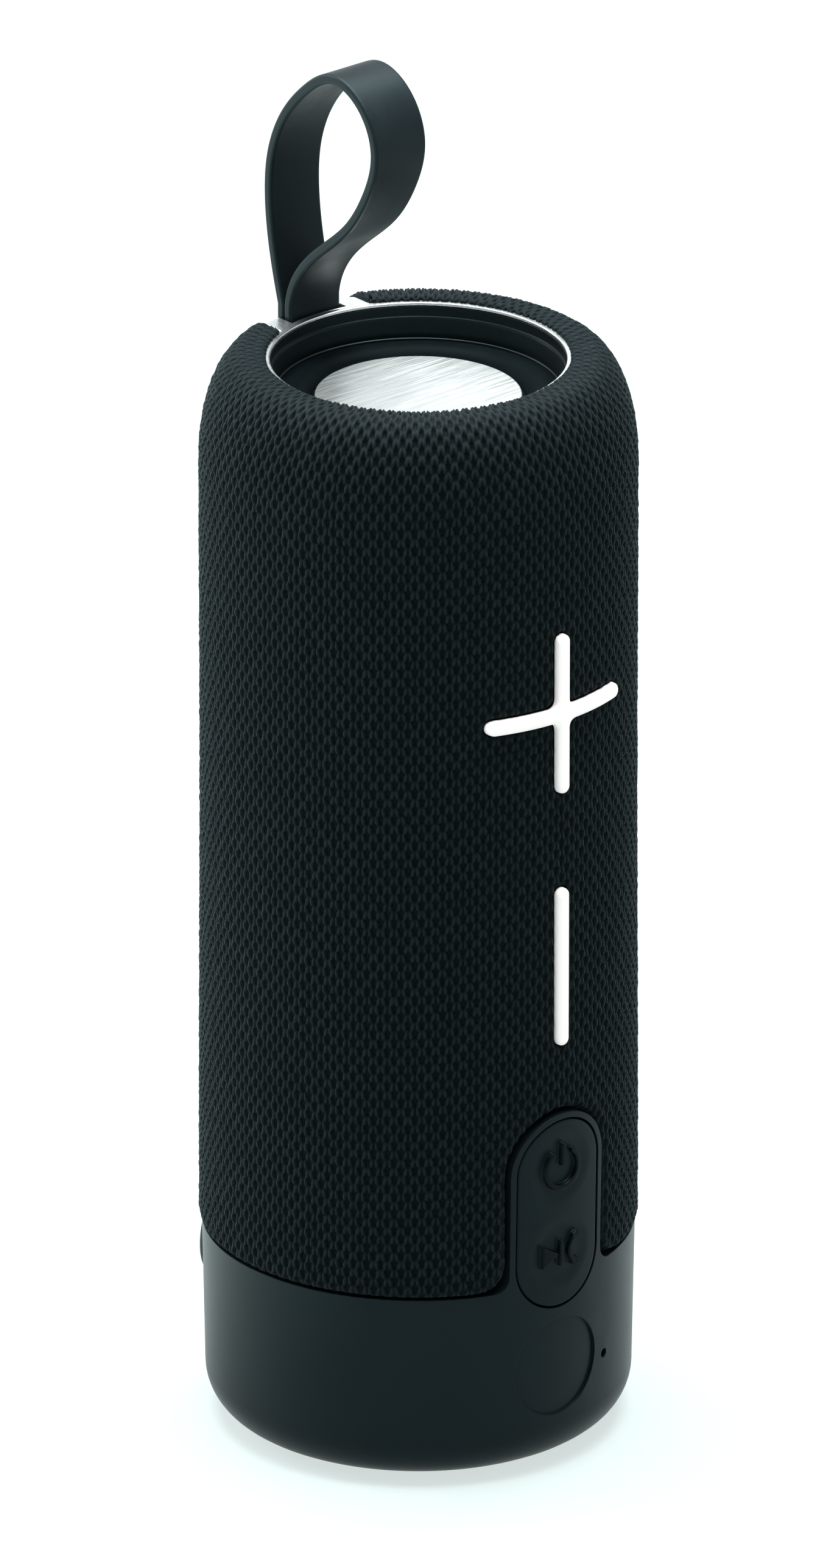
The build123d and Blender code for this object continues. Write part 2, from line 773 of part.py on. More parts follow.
def audio_jack():
    mouth = socket_mouth(audio_x + audio_half)
    body = block(audio_x - audio_half, audio_x + audio_half, mouth - audio_depth, mouth,
                 board_top, port_height + audio_rise)
    return body - rod_along_y(audio_bore, mouth - audio_depth + 1, mouth, audio_x, port_height)


def card_slot():
    low, high = card_x - card_half_width, card_x + card_half_width
    mouth = socket_mouth(low)
    level, half = port_height - card_drop, card_half_height
    body = block(low, high, mouth - card_depth, mouth, level - half, level + half)
    return body - block(low + card_wall, high - card_wall, mouth - card_depth + card_wall, mouth,
                        level - card_opening, level + card_opening)


# ---- inside the base ---------------------------------------------------------------------------
def key_notch(front):
    """Space for the key tray, from a distance in front of the axis outwards."""
    half = tongue_width / 2 + tray_margin + spigot_gap
    return block(-half, half, -reach, -front, 0, rim_height)


def seal_ring(outer):
    """The ring seal's section, from its inner edge to an outer radius."""
    low = base_height + seal_low
    return pipe(outer, bulkhead_radius - seal_section, low, low + seal_section)


def bulkhead():
    """The plate that closes the sound chamber, with four posts down to the base screws."""
    plate = rod(bulkhead_radius, base_height, base_height + bulkhead_thickness)
    plate -= seal_ring(tube_radius)
    for x, y in post_places():
        plate += rod(upper_post_radius, board_top, base_height + 1, x, y)
    for x, y in post_places():
        plate -= rod(base_screw_radius + slip / 2, 0, base_height - thread_end, x, y)
    tray_back = key_board_face() - board_thickness - tray_depth - tray_floor
    return plate - key_notch(tray_back - spigot_gap)


def chamber_seal():
    """The ring seal in the bulkhead's groove, open where the key tray passes."""
    return seal_ring(bulkhead_radius) - key_notch(0)


def base_screws():
    top = base_screw_seat - 2 * slip
    return Compound([rod(base_screw_head, top - 2, top, x, y)
                     + rod(base_screw_radius, top, base_height - thread_end * 2, x, y)
                     for x, y in post_places()])


def main_board():
    board = rod(tube_inner - board_margin, main_board_height, board_top)
    for x, y in post_places():
        board -= rod(base_screw_hole, 0, rim_height, x, y)
    return board - block(-reach, reach, -reach, -key_board_face() + tray_back_margin, 0, rim_height)


def radio_shield():
    """The screening can over the radio module."""
    half, wall = shield_side / 2, shield_wall
    can = Box(2 * half, 2 * half, shield_height, align=(Align.CENTER, Align.CENTER, Align.MIN))
    hollow = Box(2 * (half - wall), 2 * (half - wall), shield_height - wall,
                 align=(Align.CENTER, Align.CENTER, Align.MIN))
    return Pos(shield_x, 0, board_top) * (can - hollow)


def capacitors():
    return Compound([rod(capacitor_radius, board_top, board_top + capacitor_height, x, capacitor_y)
                     for x in capacitor_x])


def amplifier_chip():
    half = chip_side / 2
    return block(-half, half, -half, half, board_top, board_top + chip_height)


def microphone():
    face = base_radius(microphone_height) - base_wall - microphone_depth
    return microphone_bar(microphone_radius, face - microphone_length, face)


def microphone_boot():
    """The soft cup that holds the microphone against the wall."""
    wall = base_radius(microphone_height) - base_wall
    face = wall - microphone_depth
    boot = microphone_bar(boot_radius, wall - boot_back, wall - boot_front)
    boot -= microphone_bar(microphone_radius + slip, face - microphone_length - slip, face + slip)
    return boot - microphone_bar(microphone_hole, 0, reach)


# ---- battery -----------------------------------------------------------------------------------
def cell_places():
    return [(side * cell_spread, cell_back) for side in (-1, 1)]


def battery_cell(side):
    x, low = side * cell_spread, cell_low + 2 * slip
    top = low + cell_length
    return (rod(cell_radius, low, top, x, cell_back)
            + rod(cell_button, top, top + cell_button_height, x, cell_back))


def battery_holder(low, high, plate_low, plate_high):
    """A plate with a short collar round each cell."""
    half_x, half_y = cell_spread + cell_radius + cradle_wall, cell_radius + cradle_wall
    inside = tube_inner - 2 * backing_gap
    holder = block(-half_x, half_x, cell_back - half_y, cell_back + half_y, low, high)
    holder &= rod(inside, low, high)
    for x, y in cell_places():
        holder -= rod(cell_radius + cell_gap, low - 1, high + 1, x, y)
    plate = block(-half_x, half_x, cell_back - half_y, cell_back + half_y, plate_low, plate_high)
    return holder + (plate & rod(inside, plate_low, plate_high))


def battery_cradle():
    low = base_height + bulkhead_thickness
    return battery_holder(low, low + cradle_collar, low, cell_low)


def battery_clip():
    top = cell_low + 2 * slip + cell_length + cell_button_height
    high = top + clip_thickness + 2 * slip
    return battery_holder(top - clip_collar, high, top + 2 * slip, high)


# ---- drivers -----------------------------------------------------------------------------------
def driver_pieces():
    """One driver's pieces, with its flange's face at Z = 0 and its magnet below."""
    plate_under = -basket_depth - plate_thickness
    magnet_under = plate_under - magnet_thickness
    rim, throat, sheet = driver_radius - driver_flange, coil_radius + 2 * coil_gap, driver_sheet
    basket = turned((rim, 0), (driver_radius, 0), (driver_radius, -driver_lip), (rim + 0.9, -driver_lip),
                    (magnet_radius + 0.9, -basket_depth), (throat, -basket_depth),
                    (throat, sheet - basket_depth), (magnet_radius + 0.2, sheet - basket_depth), (rim, -1.0))
    fold, edge = cone_radius + roll_half, driver_radius - 4 * slip
    surround = turned((cone_radius, -0.75), (cone_radius + 1, -0.75), (fold - 0.7, 0.35), (fold, 0.75),
                      (fold + 0.7, 0.6), (edge - 1.4, 0.02), (edge, 0.02), (edge, 0.38),
                      (edge - 1.2, 0.38), (fold + 0.8, 1.0), (fold, 1.15), (fold - 1, 0.75),
                      (fold - 1.5, -0.35), (cone_radius, -0.35))
    cone = turned((coil_radius, -5.9), (cone_radius + 0.9, -1.3), (cone_radius + 0.9, -0.8), (coil_radius, -5.3))
    dome = (Pos(0, 0, -dome_drop) * (Sphere(dome_radius) - Sphere(dome_radius - 0.4))) & rod(6.0, -4.72, 0)
    voice_coil = pipe(coil_radius, coil_radius - 0.3, coil_low, -5.3)
    spider = pipe(magnet_radius + 0.4, coil_radius, -7.7, -7.3)
    yoke = rod(magnet_radius, magnet_under - plate_thickness, magnet_under)
    yoke += rod(coil_radius - coil_gap * 2, magnet_under, -basket_depth)
    fixed = {"basket": basket, "yoke": yoke,
             "front_plate": pipe(magnet_radius, coil_radius + coil_gap, plate_under, -basket_depth),
             "magnet": pipe(magnet_radius, coil_radius + 2, magnet_under, plate_under)}
    moving = {"cone": Compound([cone, voice_coil, dome]), "suspension": Compound([surround, spider])}
    return fixed, moving


def driver_baffle(side):
    """The flat wall that one driver fires through."""
    near = driver_plane + baffle_gap
    plate = block(near, near + baffle_thickness, -reach, reach,
                  driver_height - baffle_half, driver_height + baffle_half)
    plate &= rod(tube_inner - slip, 0, rim_height)
    hole = Pos(0, 0, driver_height) * Rot(0, 90, 0) * rod(driver_radius - driver_lip, 0, reach)
    return Rot(0, 0, 0 if side > 0 else 180) * (plate - hole)


# ---- writing -----------------------------------------------------------------------------------
def all_pieces():
    pieces = {
        "base_cup": base_cup(), "foot_pad": foot_pad(), "fabric_sleeve": fabric_sleeve(),
        "grille_tube": grille_tube(), "top_cap": top_cap(), "top_rim": top_rim(),
        "well_liner": well_liner(), "radiator_surround": radiator_surround(),
        "radiator_disc": radiator_disc(), "radiator_weight": radiator_weight(),
        "strap_root": strap_root(), "strap_loop": strap_loop(), "strap_pin": strap_pin(),
        "power_key": keypad_half(pad_middle + pad_split / 2, rim_height, power_height),
        "play_key": keypad_half(0, pad_middle - pad_split / 2, play_height),
        "keypad_membrane": keypad_membrane(), "key_board": key_board(), "key_tray": key_tray(),
        "key_board_screws": key_board_screws(), "plus_key": volume_key(plus_height, True),
        "minus_key": volume_key(minus_height, False), "volume_board": volume_board(),
        "volume_board_screws": volume_board_screws(), "port_flap": port_flap(),
        "flap_anchor": flap_anchor(), "usb_socket": usb_socket(), "audio_jack": audio_jack(),
        "card_slot": card_slot(), "bulkhead": bulkhead(), "chamber_seal": chamber_seal(),
        "base_screws": base_screws(), "main_board": main_board(), "radio_shield": radio_shield(),
        "capacitors": capacitors(), "amplifier_chip": amplifier_chip(), "microphone": microphone(),
        "microphone_boot": microphone_boot(), "battery_cell_left": battery_cell(-1),
        "battery_cell_right": battery_cell(1), "battery_cradle": battery_cradle(),
        "battery_clip": battery_clip(), "baffle_left": driver_baffle(-1), "baffle_right": driver_baffle(1),
    }
    switches = {"power": (key_board_face(), power_height), "play": (key_board_face(), play_height),
                "plus": (volume_board_face(), plus_height), "minus": (volume_board_face(), minus_height)}
    for name, (face, height) in switches.items():
        pieces[name + "_switch"] = tact_switch(face, height)
        pieces[name + "_stem"] = tact_stem(face, height)
    fixed, moving = driver_pieces()
    places = {word: Pos(side * driver_plane, 0, driver_height) * Rot(0, side * 90, 0)
              for word, side in (("left", -1), ("right", 1))}
    for name, shape in fixed.items():
        pieces["driver_" + name + "s"] = Compound([place * shape for place in places.values()])
    for name, shape in moving.items():
        for word, place in places.items():
            pieces["driver_" + name + "_" + word] = place * shape
    return pieces


os.makedirs("parts", exist_ok=True)
for node, piece in all_pieces().items():
    export_step(piece, "parts/" + node + ".step")
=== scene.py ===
"""The finished look of a portable loudspeaker, made round its packed frame.

Laid out as an add-on: the sizes and colours that a maker would change are properties, and each piece or
group of like pieces has an operator. Metres, Z up, the keys on the -Y side and the strap on the +Y side.
"""

import math

import bmesh
import bpy
import numpy as np
from bpy.props import FloatProperty, FloatVectorProperty, IntProperty, PointerProperty
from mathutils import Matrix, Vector


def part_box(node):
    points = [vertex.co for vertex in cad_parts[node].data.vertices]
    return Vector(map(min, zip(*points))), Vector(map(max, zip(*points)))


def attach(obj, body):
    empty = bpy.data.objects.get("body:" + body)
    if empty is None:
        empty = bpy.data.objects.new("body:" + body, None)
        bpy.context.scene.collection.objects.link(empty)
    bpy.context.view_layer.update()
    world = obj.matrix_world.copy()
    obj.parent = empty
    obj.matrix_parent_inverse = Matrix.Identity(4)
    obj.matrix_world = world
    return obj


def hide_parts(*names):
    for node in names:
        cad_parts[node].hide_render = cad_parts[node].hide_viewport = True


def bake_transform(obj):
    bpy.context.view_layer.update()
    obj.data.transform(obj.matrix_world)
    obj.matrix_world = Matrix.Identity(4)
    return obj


bl_info = {
    "name": "Knitted Loudspeaker",
    "version": (1, 0, 0),
    "blender": (4, 5, 0),
    "location": "3D View > Sidebar > Speaker",
    "description": "Builds the sleeve, keys, strap, rim, radiator and base of a portable loudspeaker",
    "category": "Add Mesh",
}

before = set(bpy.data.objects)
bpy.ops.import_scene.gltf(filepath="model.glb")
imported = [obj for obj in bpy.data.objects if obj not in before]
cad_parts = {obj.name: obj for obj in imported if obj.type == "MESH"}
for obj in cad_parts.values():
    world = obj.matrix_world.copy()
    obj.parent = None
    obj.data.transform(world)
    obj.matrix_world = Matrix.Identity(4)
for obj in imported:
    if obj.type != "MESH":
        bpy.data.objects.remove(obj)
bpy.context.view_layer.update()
MM = 0.001

# ---- sizes read from the frame -----------------------------------------------------------------
body_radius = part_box("fabric_sleeve")[1].x
hem_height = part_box("fabric_sleeve")[0].z
crest_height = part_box("fabric_sleeve")[1].z
rim_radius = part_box("well_liner")[1].x
rim_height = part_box("top_rim")[1].z
clamp_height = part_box("well_liner")[0].z
tongue_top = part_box("base_cup")[1].z
pad_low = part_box("play_key")[0].z
pad_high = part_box("power_key")[1].z
pad_half_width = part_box("power_key")[1].x
disc_low, disc_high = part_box("radiator_disc")
foot_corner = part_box("foot_pad")[1]
strap_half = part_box("strap_loop")[1].x
root_low, root_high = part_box("strap_root")

# ---- sizes shared with the frame's own pieces --------------------------------------------------
shoulder_width = 7.4 * MM
shoulder_drop = 17.6 * MM
base_top_radius = 34.95 * MM
base_taper = 0.6 * MM
base_height = 33.5 * MM
tongue_half = 9.55 * MM
tongue_fillet = 2.6 * MM
tongue_gap = 0.7 * MM
bar_half_width = 1.2 * MM
bar_proud = 0.95 * MM
bar_thickness = 1.4 * MM
bar_gap = 0.35 * MM
pad_thickness = 1.7 * MM
rim_width = 1.1 * MM
rim_cap = 0.6 * MM
rim_skirt = 0.6 * MM
rim_depth = 4.5 * MM
well_step = 2.3 * MM
clamp_lip = 1.0 * MM
roll_setback = 0.4 * MM
roll_crest = 0.4 * MM
tab_half = 9.4 * MM
tab_drop = 6.0 * MM
sleeve_crest = 0.7 * MM
lining_depth = 1.0 * MM
strap_thickness = 1.7 * MM
hinge_x = 19.5 * MM
flap_proud = 1.0 * MM
flap_thickness = 1.45 * MM

# ---- worked out --------------------------------------------------------------------------------
pad_middle = (pad_low + pad_high) / 2
strap_seat = (root_low.y + root_high.y) / 2
pivot_height = rim_height + 2.1 * MM
key_places = {"plus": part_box("plus_key"), "minus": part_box("minus_key")}
power_height, play_height = (sum(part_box(stem), Vector()).z / 2 for stem in ("power_stem", "play_stem"))


# ---- properties --------------------------------------------------------------------------------
def length(name, text, default):
    """A length in metres."""
    return FloatProperty(name=name, description=text, default=default, unit="LENGTH", precision=5)


def colour(name, text, default):
    """A colour for a shader."""
    return FloatVectorProperty(name=name, description=text, default=default, subtype="COLOR", min=0, max=1)


class SleeveSettings(bpy.types.PropertyGroup):
    """The knitted sleeve."""
    stitches: IntProperty(name="Stitches", description="Stitches in one round of the knit", default=100,
                          min=12, max=256)
    row_pitch: length("Row pitch", "Height of one row of stitches", 1.48 * MM)
    rows_lost: IntProperty(name="Spiral", description="Rows that the knit falls by in one round", default=8)
    relief: length("Relief", "From the holes of the knit to the crown of a stitch", 0.6 * MM)
    fullness: length("Fullness", "How far the cloth stands out more at its hem than at the top", 0.4 * MM)
    hem_radius: length("Hem radius", "Rounding of the turned-in hem", 1.1 * MM)
    slit_radius: length("Slit radius", "Rounding of the cloth round the volume keys", 0.5 * MM)
    yarn: colour("Yarn", "Colour of the crowns of the stitches", (0.0046, 0.0074, 0.0090))
    # Painted shade: the knit's colour deep in the holes between the stitches, where shade falls; the lining is
    # coloured with it too.
    shade: colour("Shade", "Colour deep between the stitches", (0.0006, 0.0010, 0.0012))


class KeySettings(bpy.types.PropertyGroup):
    """The keypad and the volume keys."""
    bar_edge: length("Bar edge", "Rounding of the volume keys' outer edges", 0.75 * MM)
    pad_edge: length("Pad edge", "Rounding of the keypad's outer edge", 0.35 * MM)
    dish_radius: length("Dish radius", "Radius of the finger dish round each symbol", 6.6 * MM)
    dish_depth: length("Dish depth", "Depth of the finger dish", 0.3 * MM)
    symbol_height: length("Symbol height", "How far the symbols stand out of the dish", 0.85 * MM)
    white: colour("White", "Colour of the volume keys", (0.97, 0.88, 0.865))
    rubber: colour("Rubber", "Colour of the keypad", (0.0042, 0.0068, 0.0082))


class ShellSettings(bpy.types.PropertyGroup):
    """The base cup, the foot and the socket flap."""
    base: colour("Base", "Colour of the moulded base", (0.0040, 0.0065, 0.0080))
    flap_edge: length("Flap edge", "Rounding of the flap's outer edge", 0.55 * MM)


class TopSettings(bpy.types.PropertyGroup):
    """The silver rim, the well and the radiator."""
    silver: colour("Silver", "Colour of the rim and its tab", (0.74, 0.78, 0.78))
    brushed: colour("Brushed", "Colour of the brushed disc", (0.70, 0.745, 0.74))
    well: colour("Well", "Colour of the well's wall", (0.0022, 0.0038, 0.0045))
    edge: length("Edge", "Rounding of the rim's edges", 0.2 * MM)


class StrapSettings(bpy.types.PropertyGroup):
    """The strap loop."""
    edge: length("Edge", "Rounding of the strap's edges", 0.5 * MM)
    rubber: colour("Rubber", "Colour of the strap", (0.0048, 0.0075, 0.009))


class StageSettings(bpy.types.PropertyGroup):
    """The floor, the lights and the camera."""
    azimuth: FloatProperty(name="Azimuth", description="Camera's turn round the speaker",
                           default=math.radians(-40.5), subtype="ANGLE")
    elevation: FloatProperty(name="Elevation", description="Camera's height over the horizon",
                             default=math.radians(22.8), subtype="ANGLE")
    distance: length("Distance", "From the camera to the speaker's axis", 3.3)
    view_height: length("View height", "Height of the view at the speaker", 0.251)
    aim_height: length("Aim height", "Height of the point the camera looks at", 0.1085)
    aim_aside: length("Aim aside", "How far left of the axis the camera looks", 0.55 * MM)
    floor: colour("Floor", "Colour of the floor", (0.14, 0.17, 0.17))
    floor_glow: colour("Floor glow", "Light from under the floor", (0.62, 0.68, 0.665))


# ---- mesh work ---------------------------------------------------------------------------------
def make_object(name, mesh, material):
    """An object of the mesh in the scene, smooth, with its material."""
    mesh.polygons.foreach_set("use_smooth", [True] * len(mesh.polygons))
    mesh.materials.append(material)
    mesh.update()
    made = bpy.data.objects.new(name, mesh)
    bpy.context.scene.collection.objects.link(made)
    return made


def grid_quads(rows, columns, closed):
    """Corner numbers of the quads of a grid, closed into a tube if asked."""
    index = np.arange(rows * columns).reshape(rows, columns)
    if closed:
        index = np.concatenate([index, index[:, :1]], axis=1)
    return np.stack([index[:-1, :-1], index[:-1, 1:], index[1:, 1:], index[1:, :-1]], axis=-1).reshape(-1, 4)


def mesh_of(name, points, quads, marks=None, chart=None):
    """A mesh of the quads, without unused points, with named values and a flat chart of its surface."""
    used, quads = np.unique(quads, return_inverse=True)
    quads = quads.reshape(-1, 4)
    mesh = bpy.data.meshes.new(name)
    mesh.from_pydata(points.reshape(-1, 3)[used].tolist(), [], quads.tolist())
    for mark, values in (marks or {}).items():
        layer = mesh.attributes.new(mark, "FLOAT", "POINT")
        layer.data.foreach_set("value", values.ravel()[used].astype(np.float32))
    if chart is not None:
        layer = mesh.uv_layers.new(name="OFBake")
        layer.uv.foreach_set("vector", chart.reshape(-1, 2)[used][quads.ravel()].astype(np.float32).ravel())
    return mesh


def grid_chart(rows, columns):
    """Even flat coordinates over a grid."""
    across, up = np.meshgrid(np.linspace(0.01, 0.99, columns), np.linspace(0.01, 0.99, rows))
    return np.stack([across, up], axis=-1)


def softened(corners, radius, steps=5):
    """A closed outline with every corner rounded, and a supporting point beside each arc."""
    points = []
    for before, corner, after in zip(np.roll(corners, 1, 0), corners, np.roll(corners, -1, 0)):
        back, ahead = before - corner, after - corner
        back_length, ahead_length = np.linalg.norm(back), np.linalg.norm(ahead)
        back, ahead = back / back_length, ahead / ahead_length
        half = math.acos(np.clip(back @ ahead, -1, 1)) / 2
        reach = min(radius / math.tan(half), 0.4 * back_length, 0.4 * ahead_length)
        bend = reach * math.tan(half)
        centre = corner + (back + ahead) / np.linalg.norm(back + ahead) * bend / math.sin(half)
        points.append(corner + back * reach * 1.2)
        for step in range(steps + 1):
            share = step / steps
            spoke = (1 - share) * (corner + back * reach - centre) + share * (corner + ahead * reach - centre)
            points.append(centre + spoke / np.linalg.norm(spoke) * bend)
        points.append(corner + ahead * reach * 1.2)
    return np.array(points)


def arc(start, middle, end, steps):
    """Points on the circle through three points of a section, from start to end."""
    (ax, ay), (bx, by), (cx, cy) = start, middle, end
    d = 2 * (ax * (by - cy) + bx * (cy - ay) + cx * (ay - by))
    a2, b2, c2 = ax * ax + ay * ay, bx * bx + by * by, cx * cx + cy * cy
    centre = np.array([(a2 * (by - cy) + b2 * (cy - ay) + c2 * (ay - by)) / d,
                       (a2 * (cx - bx) + b2 * (ax - cx) + c2 * (bx - ax)) / d])
    spokes = [np.array(p) - centre for p in (start, middle, end)]
    angles = np.unwrap([math.atan2(spoke[1], spoke[0]) for spoke in spokes])
    turns = np.interp(np.linspace(0, 1, steps + 1), (0, 0.5, 1), angles)
    return [centre + np.linalg.norm(spokes[0]) * np.array([math.cos(t), math.sin(t)]) for t in turns]


def turned(name, outline, material, segments=288):
    """A piece turned about Z from a closed outline of (radius, height)."""
    outline = np.asarray(outline, float)
    angles = np.linspace(0, 2 * math.pi, segments, endpoint=False)
    points = np.stack([outline[:, None, 0] * np.cos(angles), outline[:, None, 0] * np.sin(angles),
                       outline[:, None, 1] + 0 * angles], axis=-1)
    points = np.concatenate([points, points[:1]])
    mesh = mesh_of(name, points, grid_quads(len(outline) + 1, segments, True))
    weld(mesh)
    return make_object(name, mesh, material)


def weld(mesh):
    """Joins points that lie together, drops faces without area and turns all faces outwards."""
    work = bmesh.new()
    work.from_mesh(mesh)
    bmesh.ops.remove_doubles(work, verts=work.verts, dist=1e-7)
    bmesh.ops.dissolve_degenerate(work, edges=work.edges, dist=1e-7)
    bmesh.ops.recalc_face_normals(work, faces=work.faces)
    work.to_mesh(mesh)
    work.free()


def rounding(inside, radius):
    """How far a surface has dropped at a distance inside its edge, for a quarter-round edge."""
    left = np.clip(radius - inside, 0, radius)
    return radius - np.sqrt(radius * radius - left * left)


def smooth(value, low, high):
    """0 below low, 1 above high, and an even bend between."""
    share = np.clip((value - low) / (high - low), 0, 1)
    return share * share * (3 - 2 * share)


def plate(name, place, inside, spans, step, edge, wall, material, lift=None, symbol_shade=None):
    """A closed plate with a rounded edge on a curved body.

    inside(a, b) is the distance inside its outline, place(a, b, lift) puts a point on the body, and
    lift(a, b) is what stands out of its face. Its last argument, from 0 to 1, is kept on it as the share of
    painted shade in its finish.
    """
    (a_low, a_high), (b_low, b_high) = spans
    columns, rows = round((a_high - a_low) / step) + 1, round((b_high - b_low) / step) + 1
    a, b = np.meshgrid(np.linspace(a_low, a_high, columns), np.linspace(b_low, b_high, rows))
    within = inside(a, b)
    probe = 0.01 * MM
    slope_a = (inside(a + probe, b) - inside(a - probe, b)) / (2 * probe)
    slope_b = (inside(a, b + probe) - inside(a, b - probe)) / (2 * probe)
    steepness = np.maximum(np.hypot(slope_a, slope_b), 0.3)
    outside = np.clip(-within, 0, None) / steepness ** 2
    a, b = a + outside * slope_a, b + outside * slope_b
    skirt = np.clip(-within / (1.3 * step), 0, 1)
    face = rounding(within, edge) + (wall - edge) * skirt
    raised = -face if lift is None else lift(a, b) * smooth(within, 0, 2 * edge) - face
    quads = grid_quads(rows, columns, False)
    quads = quads[(within.ravel()[quads] > -1.3 * step).any(axis=1)]
    points = np.concatenate([place(a, b, raised).reshape(-1, 3), place(a, b, -wall + 0 * a).reshape(-1, 3)])
    # The painted shade over the symbols is kept on the mesh as a mark.
    marks = symbol_shade and {"symbol_shade": np.stack([symbol_shade(a, b), 0 * a])}
    mesh = mesh_of(name, points, np.concatenate([quads, quads[:, ::-1] + rows * columns]), marks)
    weld(mesh)
    return make_object(name, mesh, material)


def join_softly(first, second, radius):
    """Distance inside two outlines together, with a fillet where they meet."""
    blend = np.clip(0.5 + 0.5 * (first - second) / radius, 0, 1)
    return second * (1 - blend) + first * blend + radius * blend * (1 - blend)


def pill(a, b, a_middle, b_middle, a_half, b_half, radius):
    """Distance inside a slot outline whose straight part reaches a_half and b_half from its middle."""
    along_a = np.clip(a - a_middle, -a_half, a_half)
    along_b = np.clip(b - b_middle, -b_half, b_half)
    return radius - np.hypot(a - a_middle - along_a, b - b_middle - along_b)


def base_radius(height):
    """The cup's outside radius at a height; its wall carries on straight into the tongue."""
    return base_top_radius + (height - base_height) * base_taper / base_height


def on_front(radius_at):
    """Places (x, z, lift) on the front of a round body."""
    def place(x, z, lift):
        return np.stack([x, -np.sqrt((radius_at(z) + lift) ** 2 - x * x), z], axis=-1)
    return place


def on_back(radius_at):
    """Places (x, z, lift) on the back of a round body."""
    def place(x, z, lift):
        return np.stack([x, np.sqrt((radius_at(z) + lift) ** 2 - x * x), z], axis=-1)
    return place


# ---- finishes ----------------------------------------------------------------------------------
COOL = (0.64, 0.94, 1.0, 1)


class Finish:
    """A material being put together: its node tree, its shader and the places it is painted by."""

    def __init__(self, name, tint, roughness, **extra):
        self.material = bpy.data.materials.new(name)
        self.material.use_nodes = True
        self.tree = self.material.node_tree
        self.shader = self.tree.nodes["Principled BSDF"]
        self.set("Base Color", (*tint, 1))
        self.set("Roughness", roughness)
        for socket, value in extra.items():
            self.set(socket.replace("_", " ").title().replace("Ior", "IOR"), value)
        self.places = self.node("ShaderNodeTexCoord").outputs["Object"]
        self.material.diffuse_color = (*tint, 1)

    def set(self, socket, value):
        """Gives the shader's own socket a value, or a link from another node."""
        self.fill(self.shader.inputs[socket], value)

    def fill(self, socket, value):
        if isinstance(value, bpy.types.NodeSocket):
            self.tree.links.new(value, socket)
        else:
            socket.default_value = value

    def node(self, kind, inputs=None, **settings):
        """A node with its settings and its inputs, by name or number."""
        made = self.tree.nodes.new(kind)
        for key, value in settings.items():
            setattr(made, key, value)
        for key, value in (inputs or {}).items():
            self.fill(made.inputs[key], value)
        return made

    def stretched(self, scale, turn=(0, 0, 0)):
        """The places turned and stretched, so that a pattern runs along one way."""
        mapping = self.node("ShaderNodeMapping", {"Vector": self.places, "Scale": scale, "Rotation": turn})
        return mapping.outputs["Vector"]

    def noise(self, size, detail=2.0, places=None, roughness=0.5):
        """Noise whose grains are about the given size."""
        made = self.node("ShaderNodeTexNoise", {
            "Vector": places or self.places, "Scale": 1 / size, "Detail": detail, "Roughness": roughness})
        return made.outputs["Fac"]

    def cells(self, size, places=None):
        """Distance from the middle of the nearest of many scattered cells."""
        made = self.node("ShaderNodeTexVoronoi", {"Vector": places or self.places, "Scale": 1 / size})
        return made.outputs["Distance"]

    def mark(self, name):
        """A value kept on the mesh."""
        return self.node("ShaderNodeAttribute", attribute_name=name).outputs["Fac"]

    def span(self, value, low, high, to_low=0.0, to_high=1.0):
        """A value carried from one range to another, and kept inside it."""
        made = self.node("ShaderNodeMapRange", {"Value": value, "From Min": low, "From Max": high,
                                                "To Min": to_low, "To Max": to_high})
        return made.outputs["Result"]

    def maths(self, operation, first, second=0.0):
        return self.node("ShaderNodeMath", {0: first, 1: second}, operation=operation).outputs[0]

    def mixed(self, share, first, second):
        """Two colours mixed by a value."""
        made = self.node("ShaderNodeMix", data_type="RGBA")
        for socket, value in ((made.inputs[0], share), (made.inputs[6], first), (made.inputs[7], second)):
            self.fill(socket, value)
        return made.outputs[2]

    def bump(self, height, depth, normal=None):
        """A surface raised by a value of 0 to 1 times depth."""
        inputs = {"Height": height, "Distance": depth, "Strength": 1.0}
        if normal is not None:
            inputs["Normal"] = normal
        return self.node("ShaderNodeBump", inputs).outputs["Normal"]

    def round_edges(self, radius):
        """The surface with its sharp edges shaded as if rounded."""
        return self.node("ShaderNodeBevel", {"Radius": radius}, samples=4).outputs["Normal"]


def tinted(tint, share):
    """A colour with its light scaled by share."""
    return tuple(min(1.0, value * share) for value in tint) + (1.0,)


def yarn_finish(settings):
    """Dull polyester yarn with painted shade between the stitches, and a few stray light fibres."""
    made = Finish("knit", settings.yarn, 0.8, specular_ior_level=0.09, specular_tint=COOL,
                  sheen_weight=0.07, sheen_roughness=0.35, sheen_tint=(0.74, 0.95, 1.0, 1))
    crown = made.mark("crown")
    fibre = made.noise(0.12 * MM, 2, made.stretched((1, 1, 0.3)), 0.6)
    body = made.mixed(made.span(fibre, 0.3, 0.7), tinted(settings.yarn, 0.75), tinted(settings.yarn, 1.35))
    body = made.mixed(made.span(made.noise(9 * MM), 0.35, 0.65), body, tinted(settings.yarn, 1.12))
    # Painted shade: the colour falls from the yarn's to the shade colour towards the holes, by the crown mark.
    deep = made.mixed(made.span(crown, 0.3, 0.92), (*settings.shade, 1), body)
    stray = made.span(made.noise(0.3 * MM, 3, None, 0.65), 0.72, 0.8)
    made.set("Base Color", made.mixed(made.maths("MULTIPLY", stray, crown), deep, (0.09, 0.11, 0.115, 1)))
    made.set("Roughness", made.span(fibre, 0.2, 0.8, 0.5, 0.8))
    made.set("Normal", made.bump(fibre, 0.05 * MM))
    return made.material


